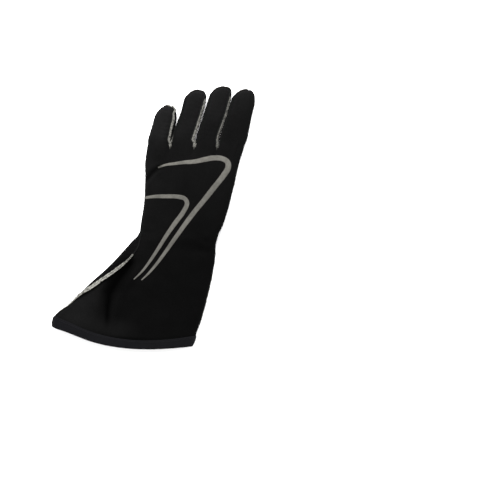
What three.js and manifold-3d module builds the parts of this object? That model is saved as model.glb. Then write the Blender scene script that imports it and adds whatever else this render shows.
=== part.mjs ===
// Racing glove for the left hand, lying palm down with its thumb folded under the palm.
// Millimetres. X runs across to the index side, Y along to the fingertips, Z up from the surface.

import * as THREE from "three";
import { mergeVertices } from "three/addons/utils/BufferGeometryUtils.js";
import Module from "manifold-3d";

const wasm = await Module();
wasm.setup();

// Cloth and seams
const BACK_WALL = 1.9;
const PALM_WALL = 1.6;
const THUMB_WALL = 1.6;
const SEAM_SLIT = 0.5;
const RIDGE_LIFT = 0.34;
const RIDGE_WIDTH = 1.5;
const STRIPE_LIFT = 0.42;
const STRIPE_THICK = 0.8;

// Gauntlet binding
const BINDING_COVER = 1.1;
const BINDING_CLEAR = 0.35;

// Fingers
const FINGER_HEIGHT = 16.5;
const FINGER_CORNER = 5;
const FINGER_CROWN = 1.2;
const CROTCH_RADIUS = 1.9;
const CROTCH_DIP = 1.4;
const CROTCH_RISE = 3.2;
const CROTCH_REACH = 26;
const CROTCH_SPREAD = 3.6;
const KNUCKLES_Y = 127.3;

// Thumb under the palm
const THUMB_HEIGHT = 7.9;
const PALM_OVER_THUMB = 8.2;
const THUMB_REAR = { x: 33, y: 13 };
const THUMB_TIP = { x: 11, y: 90 };
const THUMB_WIDTH = { root: 31, end: 25 };
const THUMB_HOLE = { x: 30.5, y: 31, radiusX: 11, radiusY: 11.5 };
const ROOT_SEAM_WALL = 1.5;
const PALM_LIFT = { across: [-42, -4], rise: [-12, 9], fall: [95, 152] };
const THUMB_STEPS = [0, 0.02, 0.06, 0.13, 0.25, 0.4, 0.56, 0.7, 0.8, 0.88, 0.94, 0.98, 1];

// Silhouette of the little side and of the index side: along, across
const LITTLE_SIDE = [
  { y: -150.5, x: -127.6 },
  { y: -146, x: -129.2 },
  { y: -142, x: -129.2 },
  { y: -135.4, x: -127.1 },
  { y: -119.7, x: -116.6 },
  { y: -88.5, x: -96.8 },
  { y: -57, x: -75.7 },
  { y: -34, x: -63 },
  { y: -19, x: -55 },
  { y: -11, x: -50.4 },
  { y: -3, x: -49.4 },
  { y: 9, x: -50.1 },
  { y: 34, x: -53.7 },
  { y: 59, x: -58.7 },
  { y: 84, x: -64.8 },
  { y: 100.4, x: -66.4 },
];
const INDEX_SIDE = [
  { y: -131, x: 50.2 },
  { y: -125, x: 51.6 },
  { y: -116, x: 51.6 },
  { y: -104, x: 52.8 },
  { y: -90, x: 53.3 },
  { y: -40, x: 53.2 },
  { y: -25, x: 52.8 },
  { y: -12, x: 51 },
  { y: 1, x: 48.5 },
  { y: 13, x: 48.6 },
  { y: 27, x: 51.4 },
  { y: 54, x: 52.8 },
  { y: 80, x: 52.9 },
  { y: 106, x: 52.1 },
  { y: KNUCKLES_Y, x: 53.2 },
];

// Cross sections from the mouth to the knuckles. little, index: where the section ends on each side.
// bow: how far its middle sags toward the mouth. littleEnd, indexEnd: radius of the rolled sides.
// rise: how far the back bulges above its sides. sag: how far the palm side hangs.
// roll: how far the little side's seam has rolled up over the edge, along the cloth.
const SECTIONS = [
  { little: -150.5, index: -131, bow: -14.5, littleEnd: 6.5, indexEnd: 7.5, rise: 17, sag: 3, roll: 0 },
  { little: -137.5, index: -118, bow: -13.5, littleEnd: 6.5, indexEnd: 7.5, rise: 16.5, sag: 3, roll: 0 },
  { little: -127, index: -108, bow: -12, littleEnd: 6.5, indexEnd: 7.5, rise: 15.5, sag: 3, roll: 0 },
  { little: -115, index: -97, bow: -10.5, littleEnd: 6.5, indexEnd: 7.5, rise: 14.5, sag: 3, roll: 2 },
  { little: -102, index: -84, bow: -9, littleEnd: 6.5, indexEnd: 7.5, rise: 13.5, sag: 3, roll: 5.5 },
  { little: -89, index: -71, bow: -7, littleEnd: 6.5, indexEnd: 7.5, rise: 12.5, sag: 3, roll: 8.5 },
  { little: -76, index: -58, bow: -5, littleEnd: 6.5, indexEnd: 7.5, rise: 11.5, sag: 3, roll: 11.5 },
  { little: -64, index: -45, bow: -3.5, littleEnd: 6.5, indexEnd: 7.5, rise: 10.5, sag: 3, roll: 14 },
  { little: -52, index: -33, bow: -2, littleEnd: 6.5, indexEnd: 7.5, rise: 9.5, sag: 3, roll: 16.5 },
  { little: -41, index: -22, bow: -1, littleEnd: 6.5, indexEnd: 7.5, rise: 9, sag: 3, roll: 18 },
  { little: -30, index: -11, bow: 0, littleEnd: 6.8, indexEnd: 7.5, rise: 8.5, sag: 3, roll: 17 },
  { little: -19, index: 0, bow: 0, littleEnd: 7, indexEnd: 7.5, rise: 8, sag: 3, roll: 12 },
  { little: -8, index: 11, bow: 0, littleEnd: 7.2, indexEnd: 7.5, rise: 7.5, sag: 3, roll: 6 },
  { little: 5, index: 24, bow: 0, littleEnd: 7.4, indexEnd: 7.6, rise: 7, sag: 3, roll: 1 },
  { little: 19, index: 39, bow: 0, littleEnd: 7.6, indexEnd: 7.8, rise: 6.5, sag: 3, roll: -2 },
  { little: 34, index: 55, bow: 0, littleEnd: 7.8, indexEnd: 8, rise: 6, sag: 3, roll: -4 },
  { little: 50, index: 72, bow: 0, littleEnd: 8, indexEnd: 8.1, rise: 5, sag: 2.5, roll: -4 },
  { little: 66, index: 90, bow: 0, littleEnd: 8.1, indexEnd: 8.2, rise: 4, sag: 2, roll: -4 },
  { little: 80, index: 106, bow: 0, littleEnd: 8.2, indexEnd: 8.25, rise: 2.6, sag: 1.5, roll: -4 },
  { little: 91, index: 118, bow: 0, littleEnd: 8.25, indexEnd: 8.25, rise: 1.6, sag: 1, roll: -4 },
  { little: 100.4, index: KNUCKLES_Y, bow: 0, littleEnd: 8.25, indexEnd: 8.25, rise: 1.2, sag: 0, roll: -4 },
];
const SIDE_LIFT = 1.6;
const SIDE_ROLL = -4;
const BINDING_LIFT = 1.5;

// Crotches between the fingers, little side first
const CROTCHES = [
  { x: -37.8, y: 106.8 },
  { x: -7.8, y: 113.3 },
  { x: 20.6, y: 119.9 },
];

// Fingers: side walls near the root and at the start of the tip, tip point and length of the rounded tip.
// littleSeam, indexSeam: how far up the corner, in degrees, each side's back seam lies. side: no fourchette.
const FINGERS = [
  {
    name: "little", leftRoot: -67.9, leftEnd: -66.9, rightRoot: -39.4, rightEnd: -40.2,
    tipX: -54, tipY: 156.6, dome: 12, littleSeam: "side", indexSeam: 72,
  },
  {
    name: "ring", leftRoot: -36.4, leftEnd: -33.2, rightRoot: -12, rightEnd: -9.8,
    tipX: -19.5, tipY: 185.4, dome: 12.5, littleSeam: 34, indexSeam: 48,
  },
  {
    name: "middle", leftRoot: -6.2, leftEnd: -3.6, rightRoot: 17.9, rightEnd: 20.8,
    tipX: 10.5, tipY: 196.8, dome: 13, littleSeam: 34, indexSeam: 48,
  },
  {
    name: "index", leftRoot: 22.8, leftEnd: 25.2, rightRoot: 54.3, rightEnd: 53.3,
    tipX: 41, tipY: 200.4, dome: 14, littleSeam: 34, indexSeam: "side",
  },
];
const PALM_SEAM_ANGLE = 12;

// Along each finger: share of the straight stretch, then share of the rounded tip
const STRAIGHT_STEPS = [0.016, 0.055, 0.18, 0.36, 0.56, 0.78, 1];
const DOME_STEPS = [
  { reach: 0.36, height: 0.97, opening: 0.8 },
  { reach: 0.62, height: 0.88, opening: 0.4 },
  { reach: 0.81, height: 0.72, opening: 0 },
  { reach: 0.94, height: 0.48, opening: 0 },
  { reach: 0.99, height: 0, opening: 0 },
];

// Columns across each finger, as shares of the cloth's width there
const BACK_COLUMNS = {
  little: [0, 0.16, 0.3, 0.43, 0.6, 0.8, 1],
  ring: [0, 0.17, 0.39, 0.61, 0.83, 1],
  middle: [0, 0.17, 0.39, 0.61, 0.83, 1],
  index: [0, 0.2, 0.4, 0.57, 0.7, 0.84, 1],
};
const PALM_COLUMNS = {
  little: [0, 0.13, 0.28, 0.5, 0.8, 1],
  ring: [0, 0.2, 0.5, 0.8, 1],
  middle: [0, 0.2, 0.5, 0.8, 1],
  index: [0, 0.2, 0.5, 0.72, 0.87, 1],
};

// Ridge heights
const FLARE_RIDGE = 2.8;
const FLARE_PLACES = 12;
const SIDE_RIDGE = 1.6;
const BACK_RIDGE = 2.4;
const PALM_RIDGE = 1.2;

// Stripes on the back: course of the middle line and full width
const STRIPE_OUTER = [
  { x: -46, y: 78, width: 1.6 },
  { x: -37, y: 84.2, width: 4.4 },
  { x: -26.6, y: 88.3, width: 5.4 },
  { x: -14.6, y: 92.7, width: 6 },
  { x: -2.4, y: 96.6, width: 6.4 },
  { x: 9.3, y: 102, width: 6.8 },
  { x: 20, y: 107.4, width: 7 },
  { x: 31, y: 108.4, width: 7 },
  { x: 38.6, y: 105.6, width: 7.2 },
  { x: 40.6, y: 99, width: 7.4 },
  { x: 37.4, y: 88, width: 7.4 },
  { x: 29.2, y: 69.7, width: 7.4 },
  { x: 21.2, y: 52, width: 7.2 },
  { x: 13, y: 34.8, width: 7 },
  { x: 5.4, y: 17, width: 6.6 },
  { x: -2.6, y: -3.2, width: 6 },
  { x: -10.6, y: -23.6, width: 5.2 },
  { x: -18.2, y: -42, width: 4.2 },
  { x: -25, y: -55.4, width: 3.2 },
  { x: -31.4, y: -65.6, width: 1.6 },
];
const STRIPE_INNER = [
  { x: -50, y: 38, width: 3.6 },
  { x: -40, y: 41.6, width: 5 },
  { x: -28.9, y: 44.4, width: 5.8 },
  { x: -12, y: 48, width: 6 },
  { x: -3, y: 47.6, width: 6 },
  { x: 1.4, y: 42.6, width: 6.4 },
  { x: -0.2, y: 31, width: 6.8 },
  { x: -6.2, y: 16.2, width: 6.8 },
  { x: -12.6, y: 0.2, width: 6.2 },
  { x: -19.4, y: -19.8, width: 5.4 },
  { x: -26.4, y: -39.4, width: 4.2 },
  { x: -33.2, y: -54.8, width: 3.2 },
  { x: -41, y: -67, width: 1.6 },
];

// Colours
const BLACK_CLOTH = { color: 0x141416, roughness: 0.95, metalness: 0 };
const PALM_CLOTH = { color: 0x111113, roughness: 0.95, metalness: 0 };
const SEAM_CLOTH = { color: 0xb9b6ac, roughness: 0.95, metalness: 0 };
const DARK_SEAM = { color: 0x2a2a2b, roughness: 0.95, metalness: 0 };
const STRIPE_GREY = { color: 0x8f8b86, roughness: 0.8, metalness: 0 };
const BINDING_CLOTH = { color: 0x202025, roughness: 0.85, metalness: 0 };

const UP = new THREE.Vector3(0, 0, 1);

function lerp(a, b, t) {
  return a + (b - a) * t;
}

function smooth(value, from, to) {
  const t = Math.min(1, Math.max(0, (value - from) / (to - from)));
  return t * t * (3 - 2 * t);
}

// The value of one column of a table at a place along it
function lookUp(table, key, place, column) {
  const next = table.findIndex((row) => row[key] >= place);
  if (next === 0) return table[0][column];
  if (next < 0) return table[table.length - 1][column];
  const [a, b] = [table[next - 1], table[next]];
  return lerp(a[column], b[column], (place - a[key]) / (b[key] - a[key]));
}

// Height of the palm's underside: the table, or the thumb that lies on it
function floorHeight(x, y) {
  const across = smooth(x, ...PALM_LIFT.across);
  const along = smooth(y, ...PALM_LIFT.rise) * (1 - smooth(y, ...PALM_LIFT.fall));
  return PALM_OVER_THUMB * across * along;
}

// A closed ring of points walked by distance
class Ring {
  constructor(points, topCount) {
    this.points = points;
    this.starts = [0];
    points.forEach((p, i) => {
      this.starts.push(this.starts[i] + p.distanceTo(points[(i + 1) % points.length]));
    });
    this.length = this.starts[points.length];
    this.top = this.starts[topCount];
  }

  at(distance) {
    const s = ((distance % this.length) + this.length) % this.length;
    let i = this.starts.findIndex((start) => start > s) - 1;
    if (i < 0) i = this.points.length - 1;
    const t = (s - this.starts[i]) / (this.starts[i + 1] - this.starts[i] || 1);
    return this.points[i].clone().lerp(this.points[(i + 1) % this.points.length], t);
  }

  direction(distance) {
    return this.at(distance + 0.6).sub(this.at(distance - 0.6)).normalize();
  }
}

// Section of the hand or gauntlet: rolled sides, a bulging back, a flat or lifted underside
function handRing(section) {
  const xl = lookUp(LITTLE_SIDE, "y", section.little, "x");
  const xr = lookUp(INDEX_SIDE, "y", section.index, "x");
  const [el, er] = [section.littleEnd, section.indexEnd];
  const near = smooth(section.index, KNUCKLES_Y - CROTCH_REACH, KNUCKLES_Y);
  const follow = smooth(section.index, 40, 118);
  const base = BINDING_LIFT * (1 - smooth(section.little, -136, -118));
  const yAt = (x) => {
    const u = (x - xl) / (xr - xl);
    return lerp(section.little, section.index, u) + section.bow * Math.pow(Math.max(0, 4 * u * (1 - u)), 1.1);
  };
  const lift = SIDE_LIFT * (1 - smooth(section.little, 60, 100));
  const zl = el + lift + base;
  const zr = er + lift * 0.4 + base + floorHeight(xr, section.index);
  const line = (u) => lerp(base, base + floorHeight(xr, section.index), u);
  const crown = (x) => {
    const marks = [xl, ...CROTCHES.map((c) => c.x), xr];
    const f = Math.max(1, marks.findIndex((mark) => mark > x));
    const t = (x - marks[f - 1]) / (marks[f] - marks[f - 1]);
    return FINGER_CROWN * (1 - Math.pow(2 * t - 1, 2));
  };
  const notchAt = (x, crotch) => Math.exp(-Math.pow((x - crotch.x) / CROTCH_SPREAD, 2));
  const dip = (x) => CROTCHES.reduce((sum, crotch) => sum + notchAt(x, crotch), 0) * near;
  const points = [];
  const put = (x, z) => points.push(new THREE.Vector3(x, yAt(x), z));
  const arc = (cx, cz, radius, from, to, steps) => {
    for (let i = 0; i < steps; i += 1) {
      const angle = THREE.MathUtils.degToRad(lerp(from, to, i / steps));
      put(cx + radius * Math.cos(angle), cz + radius * Math.sin(angle));
    }
  };
  const RUN = 40;
  arc(xl + el, zl, el, 180, 90, 8);
  for (let i = 0; i < RUN; i += 1) {
    const u = i / RUN;
    const x = lerp(xl + el, xr - er, u);
    const bump = Math.pow(4 * u * (1 - u), 0.9);
    const carried = follow * (floorHeight(x, yAt(x)) - line(u));
    const bulge = lerp(section.rise * bump, crown(x), near);
    put(x, lerp(zl + el, zr + er, u) + carried + bulge - CROTCH_DIP * dip(x));
  }
  arc(xr - er, zr, er, 90, 0, 8);
  const topCount = points.length;
  arc(xr - er, zr, er, 0, -90, 8);
  for (let i = 0; i < RUN; i += 1) {
    const u = 1 - i / RUN;
    const x = lerp(xl + el, xr - er, u);
    const hang = section.sag * Math.min(1, 4 * u * (1 - u) * 2.2);
    const flat = Math.max(base, lerp(zl - el, zr - er, u) - hang);
    put(x, Math.max(flat, floorHeight(x, yAt(x))) + CROTCH_RISE * dip(x));
  }
  arc(xl + el, zl, el, 270, 180, 8);
  return new Ring(points, topCount);
}

// Section of a finger: a soft-cornered box with a crowned top
function fingerRing(xl, xr, yl, yr, height, crown, outer) {
  const most = Math.min(height / 2, (xr - xl) / 2);
  const soft = Math.min(FINGER_CORNER, most);
  const [cornerLeft, cornerRight] = [outer === "left" ? most : soft, outer === "right" ? most : soft];
  const floor = (FINGER_HEIGHT - height) / 2;
  const points = [];
  const put = (x, z) => {
    const u = (x - xl) / (xr - xl || 1);
    const swell = z > floor + height / 2 ? crown * (1 - Math.pow(2 * u - 1, 2)) : 0;
    const carried = lerp(floorHeight(xl, yl), floorHeight(xr, yr), u);
    points.push(new THREE.Vector3(x, lerp(yl, yr, u), z + swell + carried));
  };
  const arc = (cx, corner, upper, from, to) => {
    const cz = upper ? floor + height - corner : floor + corner;
    for (let i = 0; i < 6; i += 1) {
      const angle = THREE.MathUtils.degToRad(lerp(from, to, i / 6));
      put(cx + corner * Math.cos(angle), cz + corner * Math.sin(angle));
    }
  };
  const run = (from, to, z) => {
    for (let i = 0; i < 8; i += 1) put(lerp(from, to, i / 8), z);
  };
  const [left, right] = [xl + cornerLeft, xr - cornerRight];
  put(xl, floor + height / 2);
  arc(left, cornerLeft, true, 180, 90);
  run(left, right, floor + height);
  arc(right, cornerRight, true, 90, 0);
  put(xr, floor + height - cornerRight);
  const topCount = points.length;
  put(xr, floor + height / 2);
  arc(right, cornerRight, false, 0, -90);
  run(right, left, floor);
  arc(left, cornerLeft, false, 270, 180);
  put(xl, floor + cornerLeft);
  return new Ring(points, topCount);
}

// One place on a seam: its point and the direction across the cloth, from the back toward the other side
function seamPlace(point, across) {
  return { point, across: across.clone().normalize() };
}

// Rows of one finger from its root to its tip, with the seam places on both sides
function fingerRows(finger, index) {
  const rootLeft = index === 0 ? LITTLE_SIDE[LITTLE_SIDE.length - 1] : CROTCHES[index - 1];
  const rootRight = index === 3 ? INDEX_SIDE[INDEX_SIDE.length - 1] : CROTCHES[index];
  const straightEnd = finger.tipY - finger.dome;
  const wall = (side, share) => {
    const root = side === "left" ? finger.leftRoot : finger.rightRoot;
    const end = side === "left" ? finger.leftEnd : finger.rightEnd;
    const sign = side === "left" ? 1 : -1;
    const crotch = side === "left" ? rootLeft.x : rootRight.x;
    const open = finger[side === "left" ? "littleSeam" : "indexSeam"] !== "side";
    const settled = lerp(root, end, smooth(share, 0.2, 0.9));
    if (!open) return lerp(crotch, settled, smooth(share, 0, 0.25));
    const near = crotch + sign * CROTCH_RADIUS * Math.min(1, Math.sqrt(share / STRAIGHT_STEPS[1]));
    return lerp(near, settled, smooth(share, 0.02, 0.2));
  };
  const rows = [];
  const addRow = (xl, xr, yl, yr, heightShare, opening, flatTip) => {
    const height = Math.max(0.02, FINGER_HEIGHT * heightShare);
    const outer = { 0: "left", 3: "right" }[index];
    const ring = fingerRing(xl, xr, yl, yr, height, FINGER_CROWN * heightShare, outer);
    const corner = Math.min(FINGER_CORNER, height / 2, (xr - xl) / 2);
    const straight = height / 2 - corner;
    const reach = (angle) => straight + corner * THREE.MathUtils.degToRad(angle);
    const places = (seam, edge, sign) => {
      const open = seam !== "side";
      const up = open ? reach(seam) * opening : flatTip ? 0 : SIDE_ROLL * heightShare;
      const down = open ? reach(PALM_SEAM_ANGLE) * opening : -up;
      const along = (s) => (flatTip ? new THREE.Vector3(0, 0, -1) : ring.direction(s).multiplyScalar(sign));
      const back = edge + (sign < 0 ? up : -up);
      const palm = edge + (sign < 0 ? -down : down);
      return {
        back, palm,
        backPlace: seamPlace(ring.at(back), along(back)),
        palmPlace: seamPlace(ring.at(palm), along(palm)),
      };
    };
    rows.push({
      ring, flatTip,
      left: places(finger.littleSeam, 0, -1),
      right: places(finger.indexSeam, ring.top, 1),
    });
  };
  STRAIGHT_STEPS.forEach((share) => {
    const yl = lerp(rootLeft.y, straightEnd, share);
    const yr = lerp(rootRight.y, straightEnd, share);
    addRow(wall("left", share), wall("right", share), yl, yr, 1, 1, false);
  });
  DOME_STEPS.forEach(({ reach, height, opening }) => {
    const narrow = Math.pow(1 - Math.pow(reach, 2.2), 1 / 2.2);
    const y = straightEnd + finger.dome * (height === 0 ? 1 : reach);
    const xl = lerp(finger.tipX, finger.leftEnd, narrow);
    const xr = lerp(finger.tipX, finger.rightEnd, narrow);
    addRow(xl, xr, y, y, height, opening, height === 0);
  });
  return rows;
}

const handRows = SECTIONS.map((section) => {
  const ring = handRing(section);
  const left = section.roll;
  const right = ring.top - SIDE_ROLL;
  return {
    ring, left, right,
    leftPlace: seamPlace(ring.at(left), ring.direction(left).negate()),
    rightPlace: seamPlace(ring.at(right), ring.direction(right)),
  };
});
const knuckles = handRows[handRows.length - 1];
const fingers = FINGERS.map((finger, index) => ({ ...finger, rows: fingerRows(finger, index) }));

// Distance along the knuckle ring at which the back, or the underside, passes a crotch
function crotchDistance(crotch, under) {
  const { ring } = knuckles;
  const [from, to] = under ? [ring.top, ring.length] : [0, ring.top];
  let best = from;
  for (let s = from; s <= to; s += 0.2) {
    if (Math.abs(ring.at(s).x - crotch.x) < Math.abs(ring.at(best).x - crotch.x)) best = s;
  }
  return best;
}
const backCrotch = CROTCHES.map((c) => crotchDistance(c, false));
const palmCrotch = CROTCHES.map((c) => crotchDistance(c, true));

// Gives each seam place its tangent, its outward direction and its direction across
function finishSeam(places, outwardHint) {
  return places.map((place, i) => {
    const before = places[Math.max(0, i - 1)].point;
    const after = places[Math.min(places.length - 1, i + 1)].point;
    const tangent = after.clone().sub(before).normalize();
    const outward = place.across.clone().cross(tangent).normalize();
    if (outward.dot(outwardHint(place, i)) < 0) outward.negate();
    const across = outward.clone().cross(tangent).normalize();
    if (across.dot(place.across) < 0) across.negate();
    return { point: place.point, tangent, outward, across };
  });
}

const tipColumns = (finger, columns) => {
  const last = finger.rows[finger.rows.length - 1];
  return columns.slice(1, -1).map((share) => {
    const point = last.ring.at(last.ring.top * share);
    return seamPlace(point, new THREE.Vector3(0, 0, -1));
  });
};

// Seams as one course each: side seams run from the mouth round the fingertip to the fork on its far side
const fork = DOME_STEPS.findIndex((step) => step.opening === 0) + STRAIGHT_STEPS.length;
function tipOut(finger) {
  return (place) => place.point.clone().sub(new THREE.Vector3(finger.tipX, finger.tipY - finger.dome, 9));
}

const seams = {};
const littleFinger = fingers[0];
const indexFinger = fingers[3];

// The two sides of every finger's rounded tip, from one fork to the other or down to the root
function sideCourse(finger, side, from, to, key) {
  const step = from <= to ? 1 : -1;
  const places = [];
  for (let i = from; i !== to + step; i += step) places.push(finger.rows[i][side][key]);
  return places;
}
const lastRow = STRAIGHT_STEPS.length + DOME_STEPS.length - 1;

function tipCourse(finger, columns, leftToRight) {
  const across = tipColumns(finger, columns);
  return leftToRight ? across : across.reverse();
}

// Little side: mouth, flare, hand, little finger's outer side, tip, down to the fork at its inner side
const littlePlaces = [
  ...handRows.map((row) => row.leftPlace),
  ...sideCourse(littleFinger, "left", 0, lastRow, "backPlace"),
  ...tipCourse(littleFinger, BACK_COLUMNS.little, true),
  ...sideCourse(littleFinger, "right", lastRow, fork, "backPlace"),
];
const indexPlaces = [
  ...handRows.map((row) => row.rightPlace),
  ...sideCourse(indexFinger, "right", 0, lastRow, "backPlace"),
  ...tipCourse(indexFinger, BACK_COLUMNS.index, false),
  ...sideCourse(indexFinger, "left", lastRow, fork, "backPlace"),
];
seams.little = finishSeam(littlePlaces, (place, i) =>
  i < handRows.length
    ? new THREE.Vector3(-1, 0, 0.5)
    : tipOut(littleFinger)(place),
);
seams.index = finishSeam(indexPlaces, (place, i) =>
  i < handRows.length ? new THREE.Vector3(1, 0, 0) : tipOut(indexFinger)(place),
);

// Back and palm seams of each notch: down one finger from its fork, round the crotch, up the next
function notchSeam(index, key) {
  const [a, b] = [fingers[index], fingers[index + 1]];
  const ring = knuckles.ring;
  const onBack = key === "backPlace";
  const point = ring.at(onBack ? backCrotch[index] : palmCrotch[index]);
  const across = onBack ? new THREE.Vector3(0, 0.7, -0.7) : new THREE.Vector3(0, -0.5, -0.85);
  const course = [
    ...sideCourse(a, "right", fork - 1, 0, key),
    seamPlace(point, across),
    ...sideCourse(b, "left", 0, fork - 1, key),
  ];
  return finishSeam(course, (place, i) => {
    if (i === fork) return new THREE.Vector3(0, 1, 0);
    return new THREE.Vector3(i < fork ? 1 : -1, 0.2, onBack ? 0.6 : -0.3);
  });
}
const notches = [0, 1, 2].map((i) => ({
  back: notchSeam(i, "backPlace"),
  palm: notchSeam(i, "palmPlace"),
}));

// Seams round the tips of the two middle fingers, from fork to fork
const ringTips = {};
["ring", "middle"].forEach((name, i) => {
  const finger = fingers[i + 1];
  ringTips[name] = finishSeam(
    [
      ...sideCourse(finger, "left", fork, lastRow, "backPlace"),
      ...tipCourse(finger, BACK_COLUMNS[name], true),
      ...sideCourse(finger, "right", lastRow, fork, "backPlace"),
    ],
    tipOut(finger),
  );
});

// Seam place for one side of one finger row, in the back panel or in the palm panel
function fingerSeam(index, side, row, onBack) {
  const name = FINGERS[index].name;
  const outer = (index === 0 && side === "left") || (index === 3 && side === "right");
  if (outer) return seams[name][handRows.length + row];
  if (row < fork) {
    const notch = side === "right" ? notches[index] : notches[index - 1];
    const course = onBack ? notch.back : notch.palm;
    return side === "right" ? course[fork - 1 - row] : course[fork + 1 + row];
  }
  const tips = BACK_COLUMNS[name].length - 2;
  if (index === 0 || index === 3) {
    return seams[name][handRows.length + lastRow + 1 + tips + (lastRow - row)];
  }
  const course = ringTips[name];
  return side === "left" ? course[row - fork] : course[lastRow - fork + 1 + tips + (lastRow - row)];
}

// A point on the edge of a panel, half a slit away from the seam line
function edgePoint(place, sign) {
  return {
    point: place.point.clone().addScaledVector(place.across, (sign * SEAM_SLIT) / 2),
    normal: place.outward.clone(),
  };
}

// Columns across the hand: each finger's block of columns, stretched to the section's width.
// The first columns beside a side seam keep their distance from it, so the rolled side stays round.
function handColumns(row, onBack) {
  const table = onBack ? BACK_COLUMNS : PALM_COLUMNS;
  const ring = knuckles.ring;
  const marks = onBack
    ? [knuckles.left, ...backCrotch, knuckles.right]
    : [ring.length + knuckles.left, ...palmCrotch, knuckles.right];
  const distances = [];
  FINGERS.forEach(({ name }, f) => {
    table[name].forEach((share, i) => {
      if (f > 0 && i === 0) return;
      distances.push(Math.abs(lerp(marks[f], marks[f + 1], share) - marks[0]));
    });
  });
  const total = distances[distances.length - 1];
  const width = onBack ? row.right - row.left : row.ring.length + row.left - row.right;
  const kept = 3;
  const first = distances[kept];
  const last = total - distances[distances.length - 1 - kept];
  const stretch = (width - first - last) / (total - first - last);
  return distances.map((d, i) => {
    if (i <= kept) return d;
    if (i >= distances.length - 1 - kept) return width - (total - d);
    return first + (d - first) * stretch;
  });
}

// The comb-shaped grid of one panel: hand rows, then each finger's rows
function combPanel(onBack) {
  const table = onBack ? BACK_COLUMNS : PALM_COLUMNS;
  const sign = onBack ? -1 : 1;
  const points = [];
  const edges = new Map();
  const triangles = [];
  const add = (point, edge) => {
    points.push(point);
    if (edge) edges.set(points.length - 1, edge.normal);
    return points.length - 1;
  };
  const face = (a, b, c, d) => {
    const quad = onBack ? [a, b, c, a, c, d] : [a, c, b, a, d, c];
    triangles.push(quad.slice(0, 3), quad.slice(3));
  };
  const addEdge = (place) => {
    const edge = edgePoint(place, sign);
    return add(edge.point, edge);
  };
  const grid = handRows.map((row, r) => {
    const columns = handColumns(row, onBack);
    return columns.map((d, i) => {
      if (i === 0) return addEdge(seams.little[r]);
      if (i === columns.length - 1) return addEdge(seams.index[r]);
      return add(row.ring.at(onBack ? row.left + d : row.ring.length + row.left - d));
    });
  });
  const top = grid[grid.length - 1];
  const crotchColumns = [];
  let column = 0;
  FINGERS.slice(0, 3).forEach(({ name }) => {
    column += table[name].length - 1;
    crotchColumns.push(column);
  });
  crotchColumns.forEach((c, i) => {
    const place = (onBack ? notches[i].back : notches[i].palm)[fork];
    const edge = edgePoint(place, sign);
    points[top[c]].copy(edge.point);
    edges.set(top[c], edge.normal);
  });
  for (let r = 0; r + 1 < grid.length; r += 1) {
    for (let c = 0; c + 1 < top.length; c += 1) {
      face(grid[r][c], grid[r][c + 1], grid[r + 1][c + 1], grid[r + 1][c]);
    }
  }
  column = 0;
  fingers.forEach((finger, f) => {
    const shares = table[finger.name];
    let below = shares.map((_, i) => top[column + i]);
    column += shares.length - 1;
    finger.rows.forEach((row, r) => {
      const from = onBack ? row.left.back : row.ring.length + row.left.palm;
      const to = onBack ? row.right.back : row.right.palm;
      const line = shares.map((share, i) => {
        if (i === 0) return addEdge(fingerSeam(f, "left", r, onBack));
        if (i === shares.length - 1) return addEdge(fingerSeam(f, "right", r, onBack));
        const point = row.ring.at(row.flatTip ? row.ring.top * share : lerp(from, to, share));
        if (!row.flatTip) return add(point);
        const outward = tipOut(finger)({ point }).setZ(0).normalize();
        return add(point.addScaledVector(UP, (-sign * SEAM_SLIT) / 2), { normal: outward });
      });
      for (let i = 0; i + 1 < line.length; i += 1) face(below[i], below[i + 1], line[i + 1], line[i]);
      below = line;
    });
  });
  return { points, triangles, edges, grid };
}

// Normals from the faces around each point, except where an edge brings its own
function sheetNormals({ points, triangles, edges }) {
  const normals = points.map(() => new THREE.Vector3());
  triangles.forEach(([a, b, c]) => {
    const n = points[b].clone().sub(points[a]).cross(points[c].clone().sub(points[a]));
    [a, b, c].forEach((i) => normals[i].add(n));
  });
  normals.forEach((n) => n.normalize());
  edges.forEach((normal, i) => normals[i].copy(normal));
  return normals;
}

function meshFrom(points, triangles) {
  const geometry = new THREE.BufferGeometry();
  geometry.setAttribute("position", new THREE.Float32BufferAttribute(points.flatMap((p) => p.toArray()), 3));
  geometry.setIndex(triangles.flat());
  return geometry;
}

// A sheet given a thickness: the outer face, the same face moved inward, and walls round every edge
function thickSheet(sheet, inward, outward = 0) {
  const normals = sheetNormals(sheet);
  const count = sheet.points.length;
  const outer = sheet.points.map((p, i) => p.clone().addScaledVector(normals[i], outward));
  const inner = sheet.points.map((p, i) => p.clone().addScaledVector(normals[i], -inward));
  const inside = sheet.triangles.map(([a, b, c]) => [a + count, c + count, b + count]);
  const triangles = [...sheet.triangles, ...inside];
  const directed = new Set(sheet.triangles.flatMap(([a, b, c]) => [`${a},${b}`, `${b},${c}`, `${c},${a}`]));
  directed.forEach((edge) => {
    const [a, b] = edge.split(",").map(Number);
    if (directed.has(`${b},${a}`)) return;
    triangles.push([a, a + count, b], [b, a + count, b + count]);
  });
  return meshFrom([...outer, ...inner], triangles);
}

// A raised seam: a narrow strip standing on the cloth along a seam, closed at both ends
function ridge(places, height) {
  const half = RIDGE_WIDTH / 2;
  const points = places.flatMap((place, i) => {
    const tall = typeof height === "function" ? height(i) : height;
    const at = (side, up) =>
      place.point.clone().addScaledVector(place.across, side).addScaledVector(place.outward, up);
    return [
      at(-half, RIDGE_LIFT), at(half, RIDGE_LIFT),
      at(half * 0.8, RIDGE_LIFT + tall), at(-half * 0.8, RIDGE_LIFT + tall),
    ];
  });
  return closedSweep(points, 4, false);
}

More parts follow.
